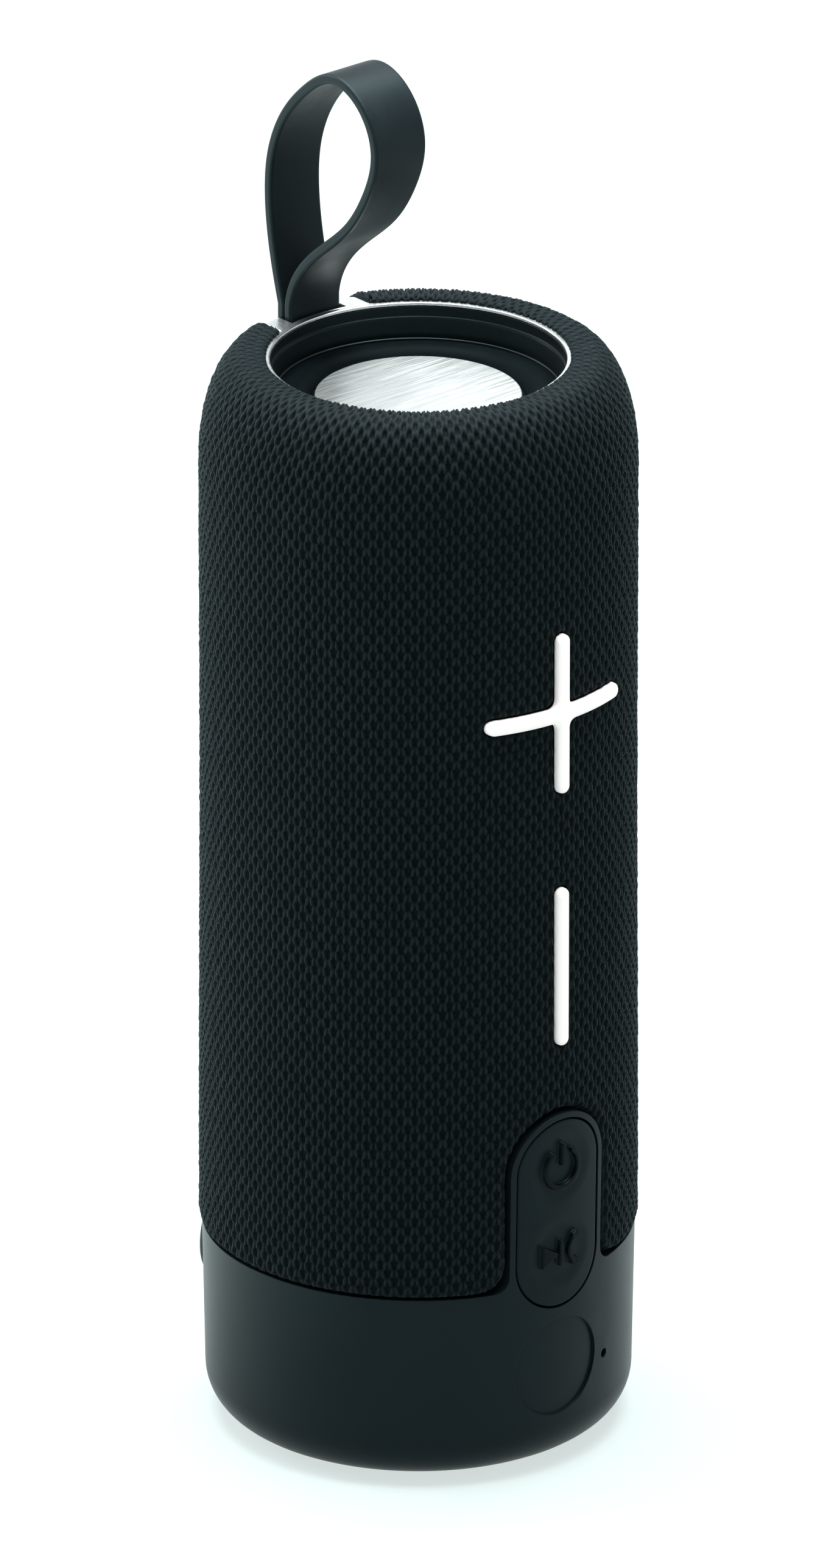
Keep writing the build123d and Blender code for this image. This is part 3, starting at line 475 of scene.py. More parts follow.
def lining_finish(settings):
    """The cloth's flat inner face."""
    # Its colour is the knit's painted shade colour.
    made = Finish("knit_lining", settings.shade, 0.9, specular_ior_level=0.2)
    rib = made.noise(0.5 * MM, 2, made.stretched((1, 1, 0.4)))
    made.set("Base Color", made.mixed(rib, tinted(settings.shade, 0.7), tinted(settings.shade, 1.6)))
    made.set("Normal", made.bump(rib, 0.12 * MM))
    return made.material


def moulded_finish(name, tint, roughness, grain=0.16 * MM, depth=0.012 * MM, edge=0.0, specular=0.13):
    """Moulded plastic with a fine spark-eroded grain, faint flow marks and handling wear."""
    made = Finish(name, tint, roughness, specular_ior_level=specular, specular_tint=COOL)
    flow = made.noise(14 * MM, 3, made.stretched((1, 1, 0.5)))
    fine = made.noise(grain, 3, None, 0.6)
    made.set("Base Color", made.mixed(made.span(flow, 0.3, 0.7), tinted(tint, 0.92), tinted(tint, 1.1)))
    worn = made.maths("ADD", made.span(flow, 0.3, 0.7, -0.025, 0.025), made.span(fine, 0.3, 0.7, -0.04, 0.04))
    made.set("Roughness", made.maths("ADD", worn, roughness))
    normal = made.round_edges(edge) if edge else None
    made.set("Normal", made.bump(fine, depth, normal))
    return made.material


def rubber_finish(name, tint, roughness, speck=0.0, specular=0.13, depth=0.014 * MM, shade_symbols=False):
    """Silicone rubber: matt, with a powdery bloom, fine dimples and a little dust."""
    made = Finish(name, tint, roughness, specular_ior_level=specular, specular_tint=COOL)
    bloom = made.noise(6 * MM, 4, None, 0.6)
    dimple = made.noise(0.22 * MM, 2, None, 0.6)
    skin = made.mixed(made.span(bloom, 0.35, 0.7), tinted(tint, 0.9), tinted(tint, 1.18))
    if speck:
        dust = made.span(made.noise(0.3 * MM, 2, None, 0.7), 0.73, 0.8)
        skin = made.mixed(made.maths("MULTIPLY", dust, speck), skin, (0.16, 0.18, 0.185, 1))
    if shade_symbols:
        # Painted shade: the raised symbols and their walls are darkened to 0.12 of the rubber's colour.
        skin = made.mixed(made.mark("symbol_shade"), skin, tinted(tint, 0.12))
    made.set("Base Color", skin)
    made.set("Roughness", made.span(bloom, 0.3, 0.7, roughness - 0.05, roughness + 0.06))
    made.set("Normal", made.bump(dimple, depth))
    return made.material


def silver_finish(settings):
    """Satin plated silver with fine hand scratches."""
    made = Finish("silver", settings.silver, 0.24, metallic=1.0)
    smear = made.noise(3.5 * MM, 4, None, 0.6)
    scratch = made.noise(0.5 * MM, 3, made.stretched((1, 0.06, 1), (0, 0, 0.5)), 0.7)
    made.set("Base Color", made.mixed(smear, tinted(settings.silver, 0.9), tinted(settings.silver, 1.05)))
    made.set("Roughness", made.maths("ADD", made.span(scratch, 0.35, 0.7, 0.27, 0.36),
                                     made.span(smear, 0.3, 0.7, -0.03, 0.03)))
    made.set("Normal", made.bump(scratch, 0.003 * MM))
    return made.material


def brushed_finish(settings):
    """Aluminium brushed along one way, with streaks of light and dark grain."""
    made = Finish("brushed", settings.brushed, 0.34, metallic=1.0)
    turn = (0, 0, math.radians(78))
    fine = made.noise(0.16 * MM, 3, made.stretched((0.012, 1, 1), turn), 0.75)
    broad = made.noise(0.9 * MM, 3, made.stretched((0.03, 1, 1), turn), 0.6)
    streak = made.span(fine, 0.32, 0.68)
    grain = made.mixed(streak, tinted(settings.brushed, 0.8), tinted(settings.brushed, 1.1))
    made.set("Base Color", made.mixed(made.span(broad, 0.4, 0.75, 0.0, 0.4), grain,
                                      tinted(settings.brushed, 0.84)))
    made.set("Roughness", made.span(fine, 0.3, 0.7, 0.26, 0.46))
    made.set("Normal", made.bump(fine, 0.02 * MM))
    return made.material


def white_finish(settings):
    """Bright moulded plastic, satin, with the faintest warm shading and grain."""
    made = Finish("white_key", settings.white, 0.36, specular_ior_level=0.45, subsurface_weight=0.05,
                  subsurface_scale=0.6 * MM)
    soft = made.noise(5 * MM, 2)
    made.set("Base Color", made.mixed(soft, tinted(settings.white, 0.965), tinted(settings.white, 1.0)))
    grain = made.noise(0.14 * MM, 2)
    made.set("Roughness", made.span(grain, 0.3, 0.7, 0.32, 0.42))
    made.set("Normal", made.bump(grain, 0.006 * MM))
    return made.material


def board_finish():
    """Black solder mask over faint copper tracks."""
    made = Finish("board", (0.012, 0.03, 0.02), 0.35, specular_ior_level=0.5)
    tracks = made.node("ShaderNodeTexBrick", {
        "Vector": made.places, "Scale": 420.0, "Color1": (0.014, 0.045, 0.028, 1),
        "Color2": (0.01, 0.03, 0.02, 1), "Mortar": (0.03, 0.075, 0.045, 1), "Mortar Size": 0.03})
    made.set("Base Color", tracks.outputs["Color"])
    made.set("Normal", made.bump(tracks.outputs["Fac"], 0.02 * MM))
    return made.material


def metal_finish(name, tint, roughness):
    """Plain cast or turned metal with tool marks."""
    made = Finish(name, tint, roughness, metallic=1.0)
    marks = made.noise(0.4 * MM, 3, made.stretched((1, 1, 0.15)), 0.6)
    made.set("Base Color", made.mixed(marks, tinted(tint, 0.75), tinted(tint, 1.1)))
    made.set("Roughness", made.span(marks, 0.3, 0.7, roughness - 0.08, roughness + 0.1))
    made.set("Normal", made.bump(marks, 0.01 * MM))
    return made.material


def ferrite_finish():
    """Sintered magnet, grey-black and finely pitted."""
    made = Finish("ferrite", (0.03, 0.03, 0.032), 0.6)
    pits = made.cells(0.5 * MM)
    made.set("Base Color", made.mixed(made.span(pits, 0, 0.6), (0.02, 0.02, 0.022, 1), (0.05, 0.05, 0.053, 1)))
    made.set("Normal", made.bump(pits, 0.03 * MM))
    return made.material


def wrap_finish():
    """Shrink wrap round the cells, with soft wrinkles."""
    made = Finish("cell_wrap", (0.02, 0.11, 0.19), 0.3, specular_ior_level=0.5)
    wrinkle = made.noise(3 * MM, 3, made.stretched((1, 1, 0.25)))
    made.set("Base Color", made.mixed(wrinkle, (0.015, 0.085, 0.16, 1), (0.03, 0.14, 0.23, 1)))
    made.set("Normal", made.bump(wrinkle, 0.08 * MM))
    return made.material


def paper_finish():
    """Pressed paper cone with loose fibres."""
    made = Finish("paper", (0.045, 0.043, 0.04), 0.9, specular_ior_level=0.2)
    fibre = made.noise(0.35 * MM, 5, made.stretched((1, 0.5, 1), (0.4, 0.2, 0)), 0.7)
    made.set("Base Color", made.mixed(fibre, (0.03, 0.029, 0.027, 1), (0.075, 0.072, 0.066, 1)))
    made.set("Normal", made.bump(fibre, 0.05 * MM))
    return made.material


def dress(material, *nodes):
    """Gives CAD nodes a finish."""
    for node in nodes:
        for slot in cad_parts[node].material_slots:
            slot.material = material


# ---- the knit ----------------------------------------------------------------------------------
def shoulder_line(sink, count=160):
    """The rounded shoulder at a depth below the cloth, from its foot up to its flat top.

    Radius, height and the tilt of the way out of the body, for evenly spaced turns of its ellipse.
    """
    across, down = shoulder_width - sink, shoulder_drop - sink
    turn = np.linspace(0, math.pi / 2, count)
    radius = body_radius - sink - across * (1 - np.cos(turn))
    height = crest_height - sink - down * (1 - np.sin(turn))
    return radius, height, np.arctan2(np.sin(turn) / down, np.cos(turn) / across)


def evenly(points, step):
    """Distances along a line of points about a step apart, and its points and tilts there."""
    points = np.stack(points, axis=1)
    run = np.concatenate([[0], np.cumsum(np.hypot(*np.diff(points[:, :2], axis=0).T))])
    distance = np.linspace(0, run[-1], round(run[-1] / step) + 1)
    return distance, *(np.interp(distance, run, column) for column in points.T)


def sleeve_line(row_step):
    """Evenly spaced places up the sleeve: radius, height, and the way out of the cloth at each."""
    curl, tuck = 0.7 * MM, 0.8 * MM
    radius, height, tilt = shoulder_line(0)
    bend = np.linspace(0, 2.2, 40)
    radius = np.concatenate([[body_radius], radius, rim_radius + 0.2 * MM - curl * np.sin(bend)])
    height = np.concatenate([[hem_height - tuck], height, crest_height - curl * (1 - np.cos(bend))])
    tilt = np.concatenate([[0], tilt, math.pi / 2 + bend])
    distance, radius, height, tilt = evenly((radius, height, tilt), row_step)
    ended = smooth(tilt - math.pi / 2, 0, 1.6)
    return distance, radius, height, np.cos(tilt), np.sin(tilt), ended


def stitch_relief(around, up, stretch, stitches):
    """Height of the knit from 0 in its holes to 1 on a crown, at places counted in stitches and rows.

    A stitch is two lobes that lean together at the top. stretch is 1 where the cloth is drawn in over
    the shoulder and its lobes run together into cords.
    """
    row_count, most_stitches = 128, 256
    shape = np.random.default_rng(11).random((3, row_count, most_stitches))
    relief = np.zeros(np.broadcast(around, up).shape)
    for row_offset in (-1, 0, 1):
        row = np.floor(up) + row_offset
        from_middle = up - row - 0.5
        shifted = around - 0.5 * (row % 2)
        stitch = np.round(shifted)
        aside = shifted - stitch
        row_number, stitch_number = row.astype(int) % row_count, stitch.astype(int) % stitches
        grow, nudge, sink = shape[:, row_number, stitch_number]
        aside = aside + 0.05 * (nudge - 0.5)
        for side in (-1, 1):
            lean = (0.09 - 0.07 * stretch) * from_middle
            off_line = (aside * side - 0.17 + lean) / (0.172 + 0.03 * (grow - 0.5) + 0.012 * stretch)
            off_end = (from_middle + 0.05 * (nudge - 0.5)) / (0.65 + 0.11 * stretch)
            reach = 1 - off_line ** 2 - np.abs(off_end) ** 2.2
            lobe = np.sqrt(np.clip(reach, 0, None)) * (0.92 + 0.18 * (sink - 0.5) - 0.08 * from_middle)
            relief = np.maximum(relief, lobe)
    return np.clip(relief, 0, 1)


def cup_outline(x, z):
    """Distance inside the base cup's front outline with its tongue, as far as the sleeve keeps off it."""
    edge = hem_height
    half = tongue_half + tongue_gap
    middle = tongue_top + tongue_gap - half
    tongue = np.where(z > middle, half - np.hypot(x, z - middle), half - np.abs(x))
    return join_softly(tongue, edge - z, 2 * tongue_fillet)


def bar_outline(x, z, which, grow=0.0):
    """Distance inside a volume key's outline, grown."""
    low, high = key_places[which]
    height, half = (low.z + high.z) / 2, (high.z - low.z) / 2 - bar_half_width
    bar = pill(x, z, 0, height, 0, half, bar_half_width + grow)
    if which == "plus":
        bar = join_softly(bar, pill(x, z, 0, height, half, 0, bar_half_width + grow), 1.6 * MM)
    return bar


def cloth_edges(x, y, z, settings):
    """How far outside every opening the cloth is, and the radius its edge is turned in with there."""
    front, far = y < 0, 1.0
    cup = np.where(front, -cup_outline(x, z), z - hem_height)
    slit = np.where(front, np.minimum(-bar_outline(x, z, "plus", bar_gap),
                                      -bar_outline(x, z, "minus", bar_gap)), far)
    beside = np.maximum(np.abs(x) - tab_half, rim_height - tab_drop - z) - 0.25 * MM
    tab = np.where(front, far, beside)
    away = np.minimum(np.minimum(cup, slit), tab)
    radius = np.where(away == cup, settings.hem_radius,
                      np.where(away == slit, settings.slit_radius, 0.9 * MM))
    return away, radius


def sleeve_points(settings, angles, row_step, inset, knitted):
    """Places on the cloth: its outer face with stitches, or its plain inner face."""
    distance, radius, height, out, up, ended = (v[:, None] for v in sleeve_line(row_step))
    x, y = radius * np.sin(angles), -radius * np.cos(angles)
    away, turn_in = cloth_edges(x, y, height + 0 * angles, settings)
    drop = rounding(away, turn_in) + np.clip(-away, 0, None) * 1.5
    relief = np.zeros(x.shape)
    if knitted:
        around = angles / (2 * math.pi) * settings.stitches
        rows = distance / settings.row_pitch - angles / (2 * math.pi) * settings.rows_lost
        stretch = smooth(body_radius - radius, 0.5 * MM, 5 * MM)
        relief = stitch_relief(around, rows, stretch, settings.stitches)
    fade = 0.35 + 0.65 * smooth(away, -0.2 * MM, 0.9 * MM) * (1 - 0.7 * ended)
    full = settings.fullness * (1 - smooth(height, hem_height, 0.7 * crest_height)) * out
    lift = settings.relief * (relief - 0.85) * fade + full - drop - inset
    points = np.stack([x + lift * out * np.sin(angles), y - lift * out * np.cos(angles),
                       height + lift * up + 0 * x], axis=-1)
    return points, away, relief


class SPEAKER_OT_sleeve(bpy.types.Operator):
    """Knit the sleeve over the tube and the shoulder, with turned-in edges at every opening"""
    bl_idname = "speaker.sleeve"
    bl_label = "Knitted sleeve"

    def execute(self, context):
        settings = context.scene.speaker_sleeve
        gores, samples, row_step = 6, 10, settings.row_pitch / 5
        columns = settings.stitches * samples
        yarn = yarn_finish(settings)
        edges = np.linspace(0, columns, gores + 1).round().astype(int)
        knit = []
        for number, (first, last) in enumerate(zip(edges[:-1], edges[1:]), 1):
            angles = (np.arange(first, last + 1) / columns - 0.5) * 2 * math.pi
            points, away, relief = sleeve_points(settings, angles, row_step, 0.0, True)
            rows, width = relief.shape
            quads = grid_quads(rows, width, False)
            quads = quads[(away.ravel()[quads] > -0.3 * MM).any(axis=1)]
            mesh = mesh_of(f"knit_{number}", points, quads, {"crown": relief}, grid_chart(rows, width))
            knit.append(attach(make_object(f"knit_{number}", mesh, yarn), "root"))
        angles = np.linspace(-math.pi, math.pi, 361)[:-1]
        points, away, relief = sleeve_points(settings, angles, MM, lining_depth, False)
        quads = grid_quads(*relief.shape, True)
        quads = quads[(away.ravel()[quads] > 0).any(axis=1)][:, ::-1]
        mesh = mesh_of("sleeve_lining", points, quads)
        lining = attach(make_object("sleeve_lining", mesh, lining_finish(settings)), "root")
        for piece in (*knit, lining):
            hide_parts("fabric_sleeve")
        flat = 2 * math.pi * (body_radius - lining_depth), sleeve_line(MM)[0][-1]
        return {"FINISHED"}


# ---- base, foot and flap -----------------------------------------------------------------------
class SPEAKER_OT_base(bpy.types.Operator):
    """Finish the moulded base cup and lay the rubber foot under it"""
    bl_idname = "speaker.base"
    bl_label = "Base and foot"

    def execute(self, context):
        settings = context.scene.speaker_shell
        dress(moulded_finish("base_plastic", settings.base, 0.36, edge=0.25 * MM, specular=0.11), "base_cup")
        rubber = rubber_finish("foot_rubber", settings.base, 0.7)
        radius, top = foot_corner.x, foot_corner.z
        ridge, groove, count = 1.1 * MM, 0.35 * MM, 6
        under = []
        for number in range(count):
            outer = radius - 1.5 * MM - number * 2 * ridge
            under += [(outer, 0), (outer - 0.2 * MM, groove), (outer - ridge, groove),
                      (outer - ridge - 0.2 * MM, 0)]
        inner = under[-1][0] - ridge
        corners = [(inner, top), (radius, top), (radius, 0), *under, (inner, 0)]
        foot = turned("foot_ring", softened(np.array(corners), 0.12 * MM, 3), rubber, 192)
        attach(foot, "root")
        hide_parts("foot_pad")
        return {"FINISHED"}


class SPEAKER_OT_flap(bpy.types.Operator):
    """Lay the soft flap over the sockets, with its finger lip and its thinned hinge line"""
    bl_idname = "speaker.flap"
    bl_label = "Socket flap"

    def execute(self, context):
        settings = context.scene.speaker_shell
        (left, _, low), (right, _, high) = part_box("port_flap")[0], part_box("flap_anchor")[1]
        height, radius = (low + high) / 2, (high - low) / 2
        half = right - radius

        def inside(x, z):
            return pill(x, z, 0, height, half, 0, radius)

        def lift(x, z):
            lip = 0.45 * MM * smooth(-x, right - 3.6 * MM, right - 2.2 * MM)
            fold = 0.4 * MM * np.exp(-((x - hinge_x) / (0.5 * MM)) ** 2)
            panel = 0.18 * MM * smooth(inside(x, z), 1.5 * MM, 2.0 * MM) * (x < hinge_x - 2 * MM)
            return lip - fold - panel

        place = on_back(lambda z: base_radius(z) + flap_proud)
        rubber = rubber_finish("flap_rubber", settings.base, 0.55)
        spans = (left - MM, right + MM), (low - MM, high + MM)
        flap = plate("flap_cover", place, inside, spans, 0.22 * MM, settings.flap_edge, flap_thickness,
                     rubber, lift)
        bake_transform(flap)
        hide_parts("port_flap", "flap_anchor")
        return {"FINISHED"}


# ---- keys --------------------------------------------------------------------------------------
class SPEAKER_OT_volume_keys(bpy.types.Operator):
    """Mould the raised white plus and minus bars, bent round the body"""
    bl_idname = "speaker.volume_keys"
    bl_label = "Volume keys"

    def execute(self, context):
        settings = context.scene.speaker_keys
        white = white_finish(settings)
        place = on_front(lambda z: body_radius + bar_proud + 0 * z)
        for which, (low, high) in key_places.items():
            spans = (low.x - MM, high.x + MM), (low.z - MM, high.z + MM)
            key = plate(which + "_bar", place, lambda x, z: bar_outline(x, z, which), spans, 0.13 * MM,
                        settings.bar_edge, bar_thickness, white)
            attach(key, which + "_button")
            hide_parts(which + "_key")
        return {"FINISHED"}


def stroke(x, z, start, end, half):
    """Distance inside a line of a symbol, between two points."""
    (ax, az), (bx, bz) = start, end
    along = np.clip(((x - ax) * (bx - ax) + (z - az) * (bz - az)) / ((bx - ax) ** 2 + (bz - az) ** 2), 0, 1)
    return half - np.hypot(x - ax - along * (bx - ax), z - az - along * (bz - az))


def ring_stroke(x, z, centre, radius, middle, spread, half):
    """Distance inside an arc of a symbol: middle is its middle's bearing, spread its half length."""
    bearing = np.arctan2(z - centre[1], x - centre[0]) - middle
    bearing = np.clip((bearing + math.pi) % (2 * math.pi) - math.pi, -spread, spread) + middle
    return half - np.hypot(x - centre[0] - radius * np.cos(bearing), z - centre[1] - radius * np.sin(bearing))


def power_symbol(x, z):
    """An open ring with a bar in its gap."""
    up = math.pi / 2
    ring = ring_stroke(x, z, (0, 0), 3.35 * MM, -up, math.radians(142), 0.48 * MM)
    return np.maximum(ring, stroke(x, z, (0, 0.9 * MM), (0, 4.0 * MM), 0.48 * MM))


def play_symbol(x, z):
    """A triangle, a bar and a handset."""
    slope = 0.62
    left, tip = -3.9 * MM, -0.6 * MM
    triangle = np.minimum(x - left, ((tip - x) * slope - np.abs(z)) / math.hypot(slope, 1))
    bar = stroke(x, z, (-0.1 * MM, -1.9 * MM), (-0.1 * MM, 1.9 * MM), 0.42 * MM)
    handset = ring_stroke(x, z, (4.3 * MM, 0), 2.6 * MM, math.pi, math.radians(62), 0.45 * MM)
    ends = np.maximum(stroke(x, z, (2.7 * MM, 2.15 * MM), (3.2 * MM, 2.3 * MM), 0.68 * MM),
                      stroke(x, z, (2.7 * MM, -2.15 * MM), (3.2 * MM, -2.3 * MM), 0.68 * MM))
    return np.maximum(np.maximum(triangle, bar), np.maximum(handset, ends))


class SPEAKER_OT_keypad(bpy.types.Operator):
    """Mould the keypad's two halves, which meet in one skin, with their dishes and raised symbols"""
    bl_idname = "speaker.keypad"
    bl_label = "Keypad"

    def execute(self, context):
        settings = context.scene.speaker_keys
        rubber = rubber_finish("keypad_rubber", settings.rubber, 0.42, specular=0.09, shade_symbols=True)
        straight = (pad_high - pad_low) / 2 - pad_half_width

        def inside(x, z):
            return pill(x, z, 0, pad_middle, 0, straight, pad_half_width)

        def lift(x, z):
            raised = 0 * x
            for height, symbol in ((power_height, power_symbol), (play_height, play_symbol)):
                away = np.hypot(x, z - height)
                raised -= settings.dish_depth * (1 - smooth(away, 0.55 * settings.dish_radius,
                                                            settings.dish_radius))
                raised += settings.symbol_height * smooth(symbol(x, z - height), -0.1 * MM, 0.12 * MM)
            return raised

        # Where painted shade darkens the symbols, their walls and a thin band round them.
        def symbol_shade(x, z):
            return smooth(np.maximum(power_symbol(x, z - power_height), play_symbol(x, z - play_height)),
                          -0.14 * MM, 0.04 * MM)

        place = on_front(base_radius)
        halves = {"power": (pad_middle, pad_high + MM), "play": (pad_low - MM, pad_middle)}
        for word, heights in halves.items():
            spans = (-pad_half_width - MM, pad_half_width + MM), heights
            half = plate("keypad_" + word, place, inside, spans, 0.1 * MM, settings.pad_edge,
                         pad_thickness, rubber, lift, symbol_shade)
            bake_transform(half)
            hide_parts(word + "_key")
        return {"FINISHED"}


# ---- top ---------------------------------------------------------------------------------------
class SPEAKER_OT_rim(bpy.types.Operator):
    """Turn the silver rim and the black well, and bend the tab that carries the strap over the shoulder"""
    bl_idname = "speaker.rim"
    bl_label = "Rim, tab and well"

    def execute(self, context):
        settings = context.scene.speaker_top
        silver = silver_finish(settings)
        inner, skirt = rim_radius - rim_width, rim_radius - rim_skirt
        corners = [(inner, rim_height), (rim_radius, rim_height), (rim_radius, rim_height - rim_depth),
                   (skirt, rim_height - rim_depth), (skirt, rim_height - rim_cap),
                   (inner, rim_height - rim_cap)]
        ring = turned("rim_ring", softened(np.array(corners), settings.edge, 6), silver)
        slot_x = strap_half + 0.3 * MM
        slot_y = strap_thickness + 0.2 * MM
        radius, height, tilt = (line[::-1] for line in shoulder_line(sleeve_crest))
        start = rim_radius - 0.3 * MM
        line = (np.concatenate([[first], rest])
                for first, rest in ((start, radius), (height[0], height), (tilt[0], tilt)))
        run, radius, height, tilt = evenly(tuple(line), 0.1 * MM)
        stop, seat = np.interp(rim_height - tab_drop, height[::-1], run[::-1]), strap_seat - start

        def place(x, along, lift):
            lean = np.interp(along, run, tilt)
            reach = np.interp(along, run, radius) + np.minimum(along, 0) + lift * np.cos(lean)
            level = np.interp(along, run, height) + lift * np.sin(lean)
            return np.stack([x, np.sqrt(np.maximum(reach ** 2 - x * x, 0)), level], axis=-1)

        def inside(x, along):
            tab = np.minimum(tab_half - np.abs(x), np.minimum(stop - along, along))
            slot = np.maximum(np.abs(x) - slot_x, np.abs(along - seat) - slot_y)
            return np.minimum(tab, slot)

        spans = (-tab_half - MM, tab_half + MM), (-MM, stop + MM)
        tab = plate("rim_tab", place, inside, spans, 0.14 * MM, 0.3 * MM, 0.8 * MM, silver)
        for piece in (ring, tab):
            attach(piece, "root")
            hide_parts("top_rim")
        step, ledge = rim_height - well_step, rim_height - rim_depth - 0.05 * MM
        top, wall = rim_height - rim_cap - 0.05 * MM, skirt - 0.05 * MM
        bead, nose = 0.22 * MM, inner - clamp_lip
        cove = arc((nose + bead, clamp_height + 1.6 * bead), (inner - 0.62 * MM, clamp_height + 2 * MM),
                   (inner - 0.32 * MM, step - 0.2 * MM), 12)
        lip = arc((nose, clamp_height), (nose + 0.1 * bead, clamp_height + bead),
                  (nose + bead, clamp_height + 1.5 * bead), 6)
        corners = [(inner - 0.32 * MM, step), (inner, step), (inner, top), (wall, top), (wall, ledge),
                   (rim_radius, ledge), (rim_radius, clamp_height)]
        outline = [*lip, *cove, *softened(np.array(corners), 0.09 * MM, 4)]
        plastic = moulded_finish("well_plastic", settings.well, 0.36, depth=0.005 * MM, specular=0.2)
        well = turned("well_wall", outline, plastic)
        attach(well, "root")
        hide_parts("well_liner")
        return {"FINISHED"}


class SPEAKER_OT_radiator(bpy.types.Operator):
    """Turn the brushed disc and the rubber half roll that it moves on"""
    bl_idname = "speaker.radiator"
    bl_label = "Passive radiator"

    def execute(self, context):
        settings = context.scene.speaker_top
        radius, low, high = disc_high.x, disc_low.z, disc_high.z
        corners = [(0, high), (radius, high), (radius, low), (0, low)]
        outline = softened(np.array(corners), 0.22 * MM, 5)
        middle = [(share * radius, high) for share in (0.0, 0.3, 0.6, 0.8)]
        rounded = outline[outline[:, 0] > 0.8 * radius]
        outline = np.array([*middle, *rounded, (0.6 * radius, low), (0, low)])
        disc = turned("brushed_disc", outline, brushed_finish(settings))
        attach(disc, "radiator")
        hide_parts("radiator_disc")
        inside, root = radius - 3.5 * MM, radius + 0.5 * MM
        edge = rim_radius - rim_width - clamp_lip - roll_setback
        middle = (root + edge) / 2
        flange = 0.45 * MM
        outline = [
            (inside, low), (root - 0.3 * MM, low),
            *arc((root, low), (middle, clamp_height + roll_crest), (edge, clamp_height), 22),
            (edge + 0.2 * MM, clamp_height), (rim_radius - 0.1 * MM, clamp_height),
            (rim_radius - 0.1 * MM, clamp_height - flange), (edge - 0.2 * MM, clamp_height - flange),
            *arc((edge - 0.5 * MM, clamp_height - flange), (middle, clamp_height + roll_crest - 0.6 * MM),
                 (root + 0.6 * MM, low - 0.4 * MM), 14),
            (inside, low - 0.4 * MM)]
        rubber = rubber_finish("surround_rubber", settings.well, 0.4, specular=0.01, depth=0.006 * MM)
        roll = turned("surround_roll", outline, rubber)
        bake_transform(roll)
        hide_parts("radiator_surround")
        return {"FINISHED"}


# ---- strap -------------------------------------------------------------------------------------
def strap_centre_line(steps):
    """Evenly spaced points (y, z) up one side of the loop, over its top and down the other side."""
    half = strap_thickness / 2 / MM
    turns = [(-half, 0), (-3.6, 6.6), (-9.3, 12.2), (-15.3, 17.4), (-19.9, 24.2), (-22.0, 32.0),
             (-18.9, 38.8), (-12.0, 41.8), (-5.2, 38.2), (0.2, 32.2), (3.4, 24.8), (4.0, 16.6),
             (2.9, 8.2), (half, 0)]
    points = np.array(turns) * MM + (strap_seat, pivot_height)
    spans = np.linalg.norm(np.diff(points, axis=0), axis=1)
    knots = np.concatenate([[0], np.cumsum(spans)])
    count = len(points)
    system, target = np.zeros((count, count)), np.zeros((count, 2))
    system[0, :3] = -spans[1], spans[0] + spans[1], -spans[0]
    system[-1, -3:] = -spans[-1], spans[-1] + spans[-2], -spans[-2]
    slopes = np.diff(points, axis=0) / spans[:, None]
    for i in range(1, count - 1):
        system[i, i - 1:i + 2] = spans[i - 1], 2 * (spans[i - 1] + spans[i]), spans[i]
        target[i] = 6 * (slopes[i] - slopes[i - 1])
    bends = np.linalg.solve(system, target)
    places = np.linspace(0, knots[-1], steps + 1)
    span = np.clip(np.searchsorted(knots, places) - 1, 0, count - 2)
    wide = spans[span][:, None]
    after = (places - knots[span])[:, None]
    before = wide - after
    return ((bends[span] * before ** 3 + bends[span + 1] * after ** 3) / (6 * wide)
            + (points[span] / wide - bends[span] * wide / 6) * before
            + (points[span + 1] / wide - bends[span + 1] * wide / 6) * after)


class SPEAKER_OT_strap(bpy.types.Operator):
    """Sweep the strap's band up out of the tab's slot, round its loop and back into the slot"""
    bl_idname = "speaker.strap"
    bl_label = "Strap"

    def execute(self, context):
        settings = context.scene.speaker_strap
        half = strap_thickness / 2
        loop = strap_centre_line(260)
        foot = np.linspace(root_low.z, pivot_height, 12)[:-1]
        rise = np.stack([np.full(len(foot), strap_seat - half), foot], axis=-1)
        fall = np.stack([np.full(len(foot), strap_seat + half), foot[::-1]], axis=-1)
        line = np.concatenate([rise, loop, fall])
        way = np.gradient(line, axis=0)
        way /= np.linalg.norm(way, axis=1)[:, None]
        side = np.stack([-way[:, 1], way[:, 0]], axis=-1)
        thick = half * 0.985
        corners = np.array([(-strap_half, -thick), (strap_half, -thick), (strap_half, thick),
                            (-strap_half, thick)])
        section = softened(corners, settings.edge, 5)
        across, out = section[:, 0], section[:, 1]
        crown = 1 + 0.05 * (1 - (across / strap_half) ** 2) * (np.abs(out) > 0.9 * thick)
        y = line[:, None, 0] + side[:, None, 0] * out * crown
        z = line[:, None, 1] + side[:, None, 1] * out * crown
        points = np.stack([across + 0 * y, y, z], axis=-1)
        quads = grid_quads(len(line), len(section), True)
        mesh = mesh_of("strap_band", points, quads)
        weld(mesh)
        rubber = rubber_finish("strap_rubber", settings.rubber, 0.46, speck=0.3, specular=0.14,
                               depth=0.02 * MM)
        strap = make_object("strap_band", mesh, rubber)
        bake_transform(strap)
        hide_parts("strap_loop", "strap_root")
        return {"FINISHED"}


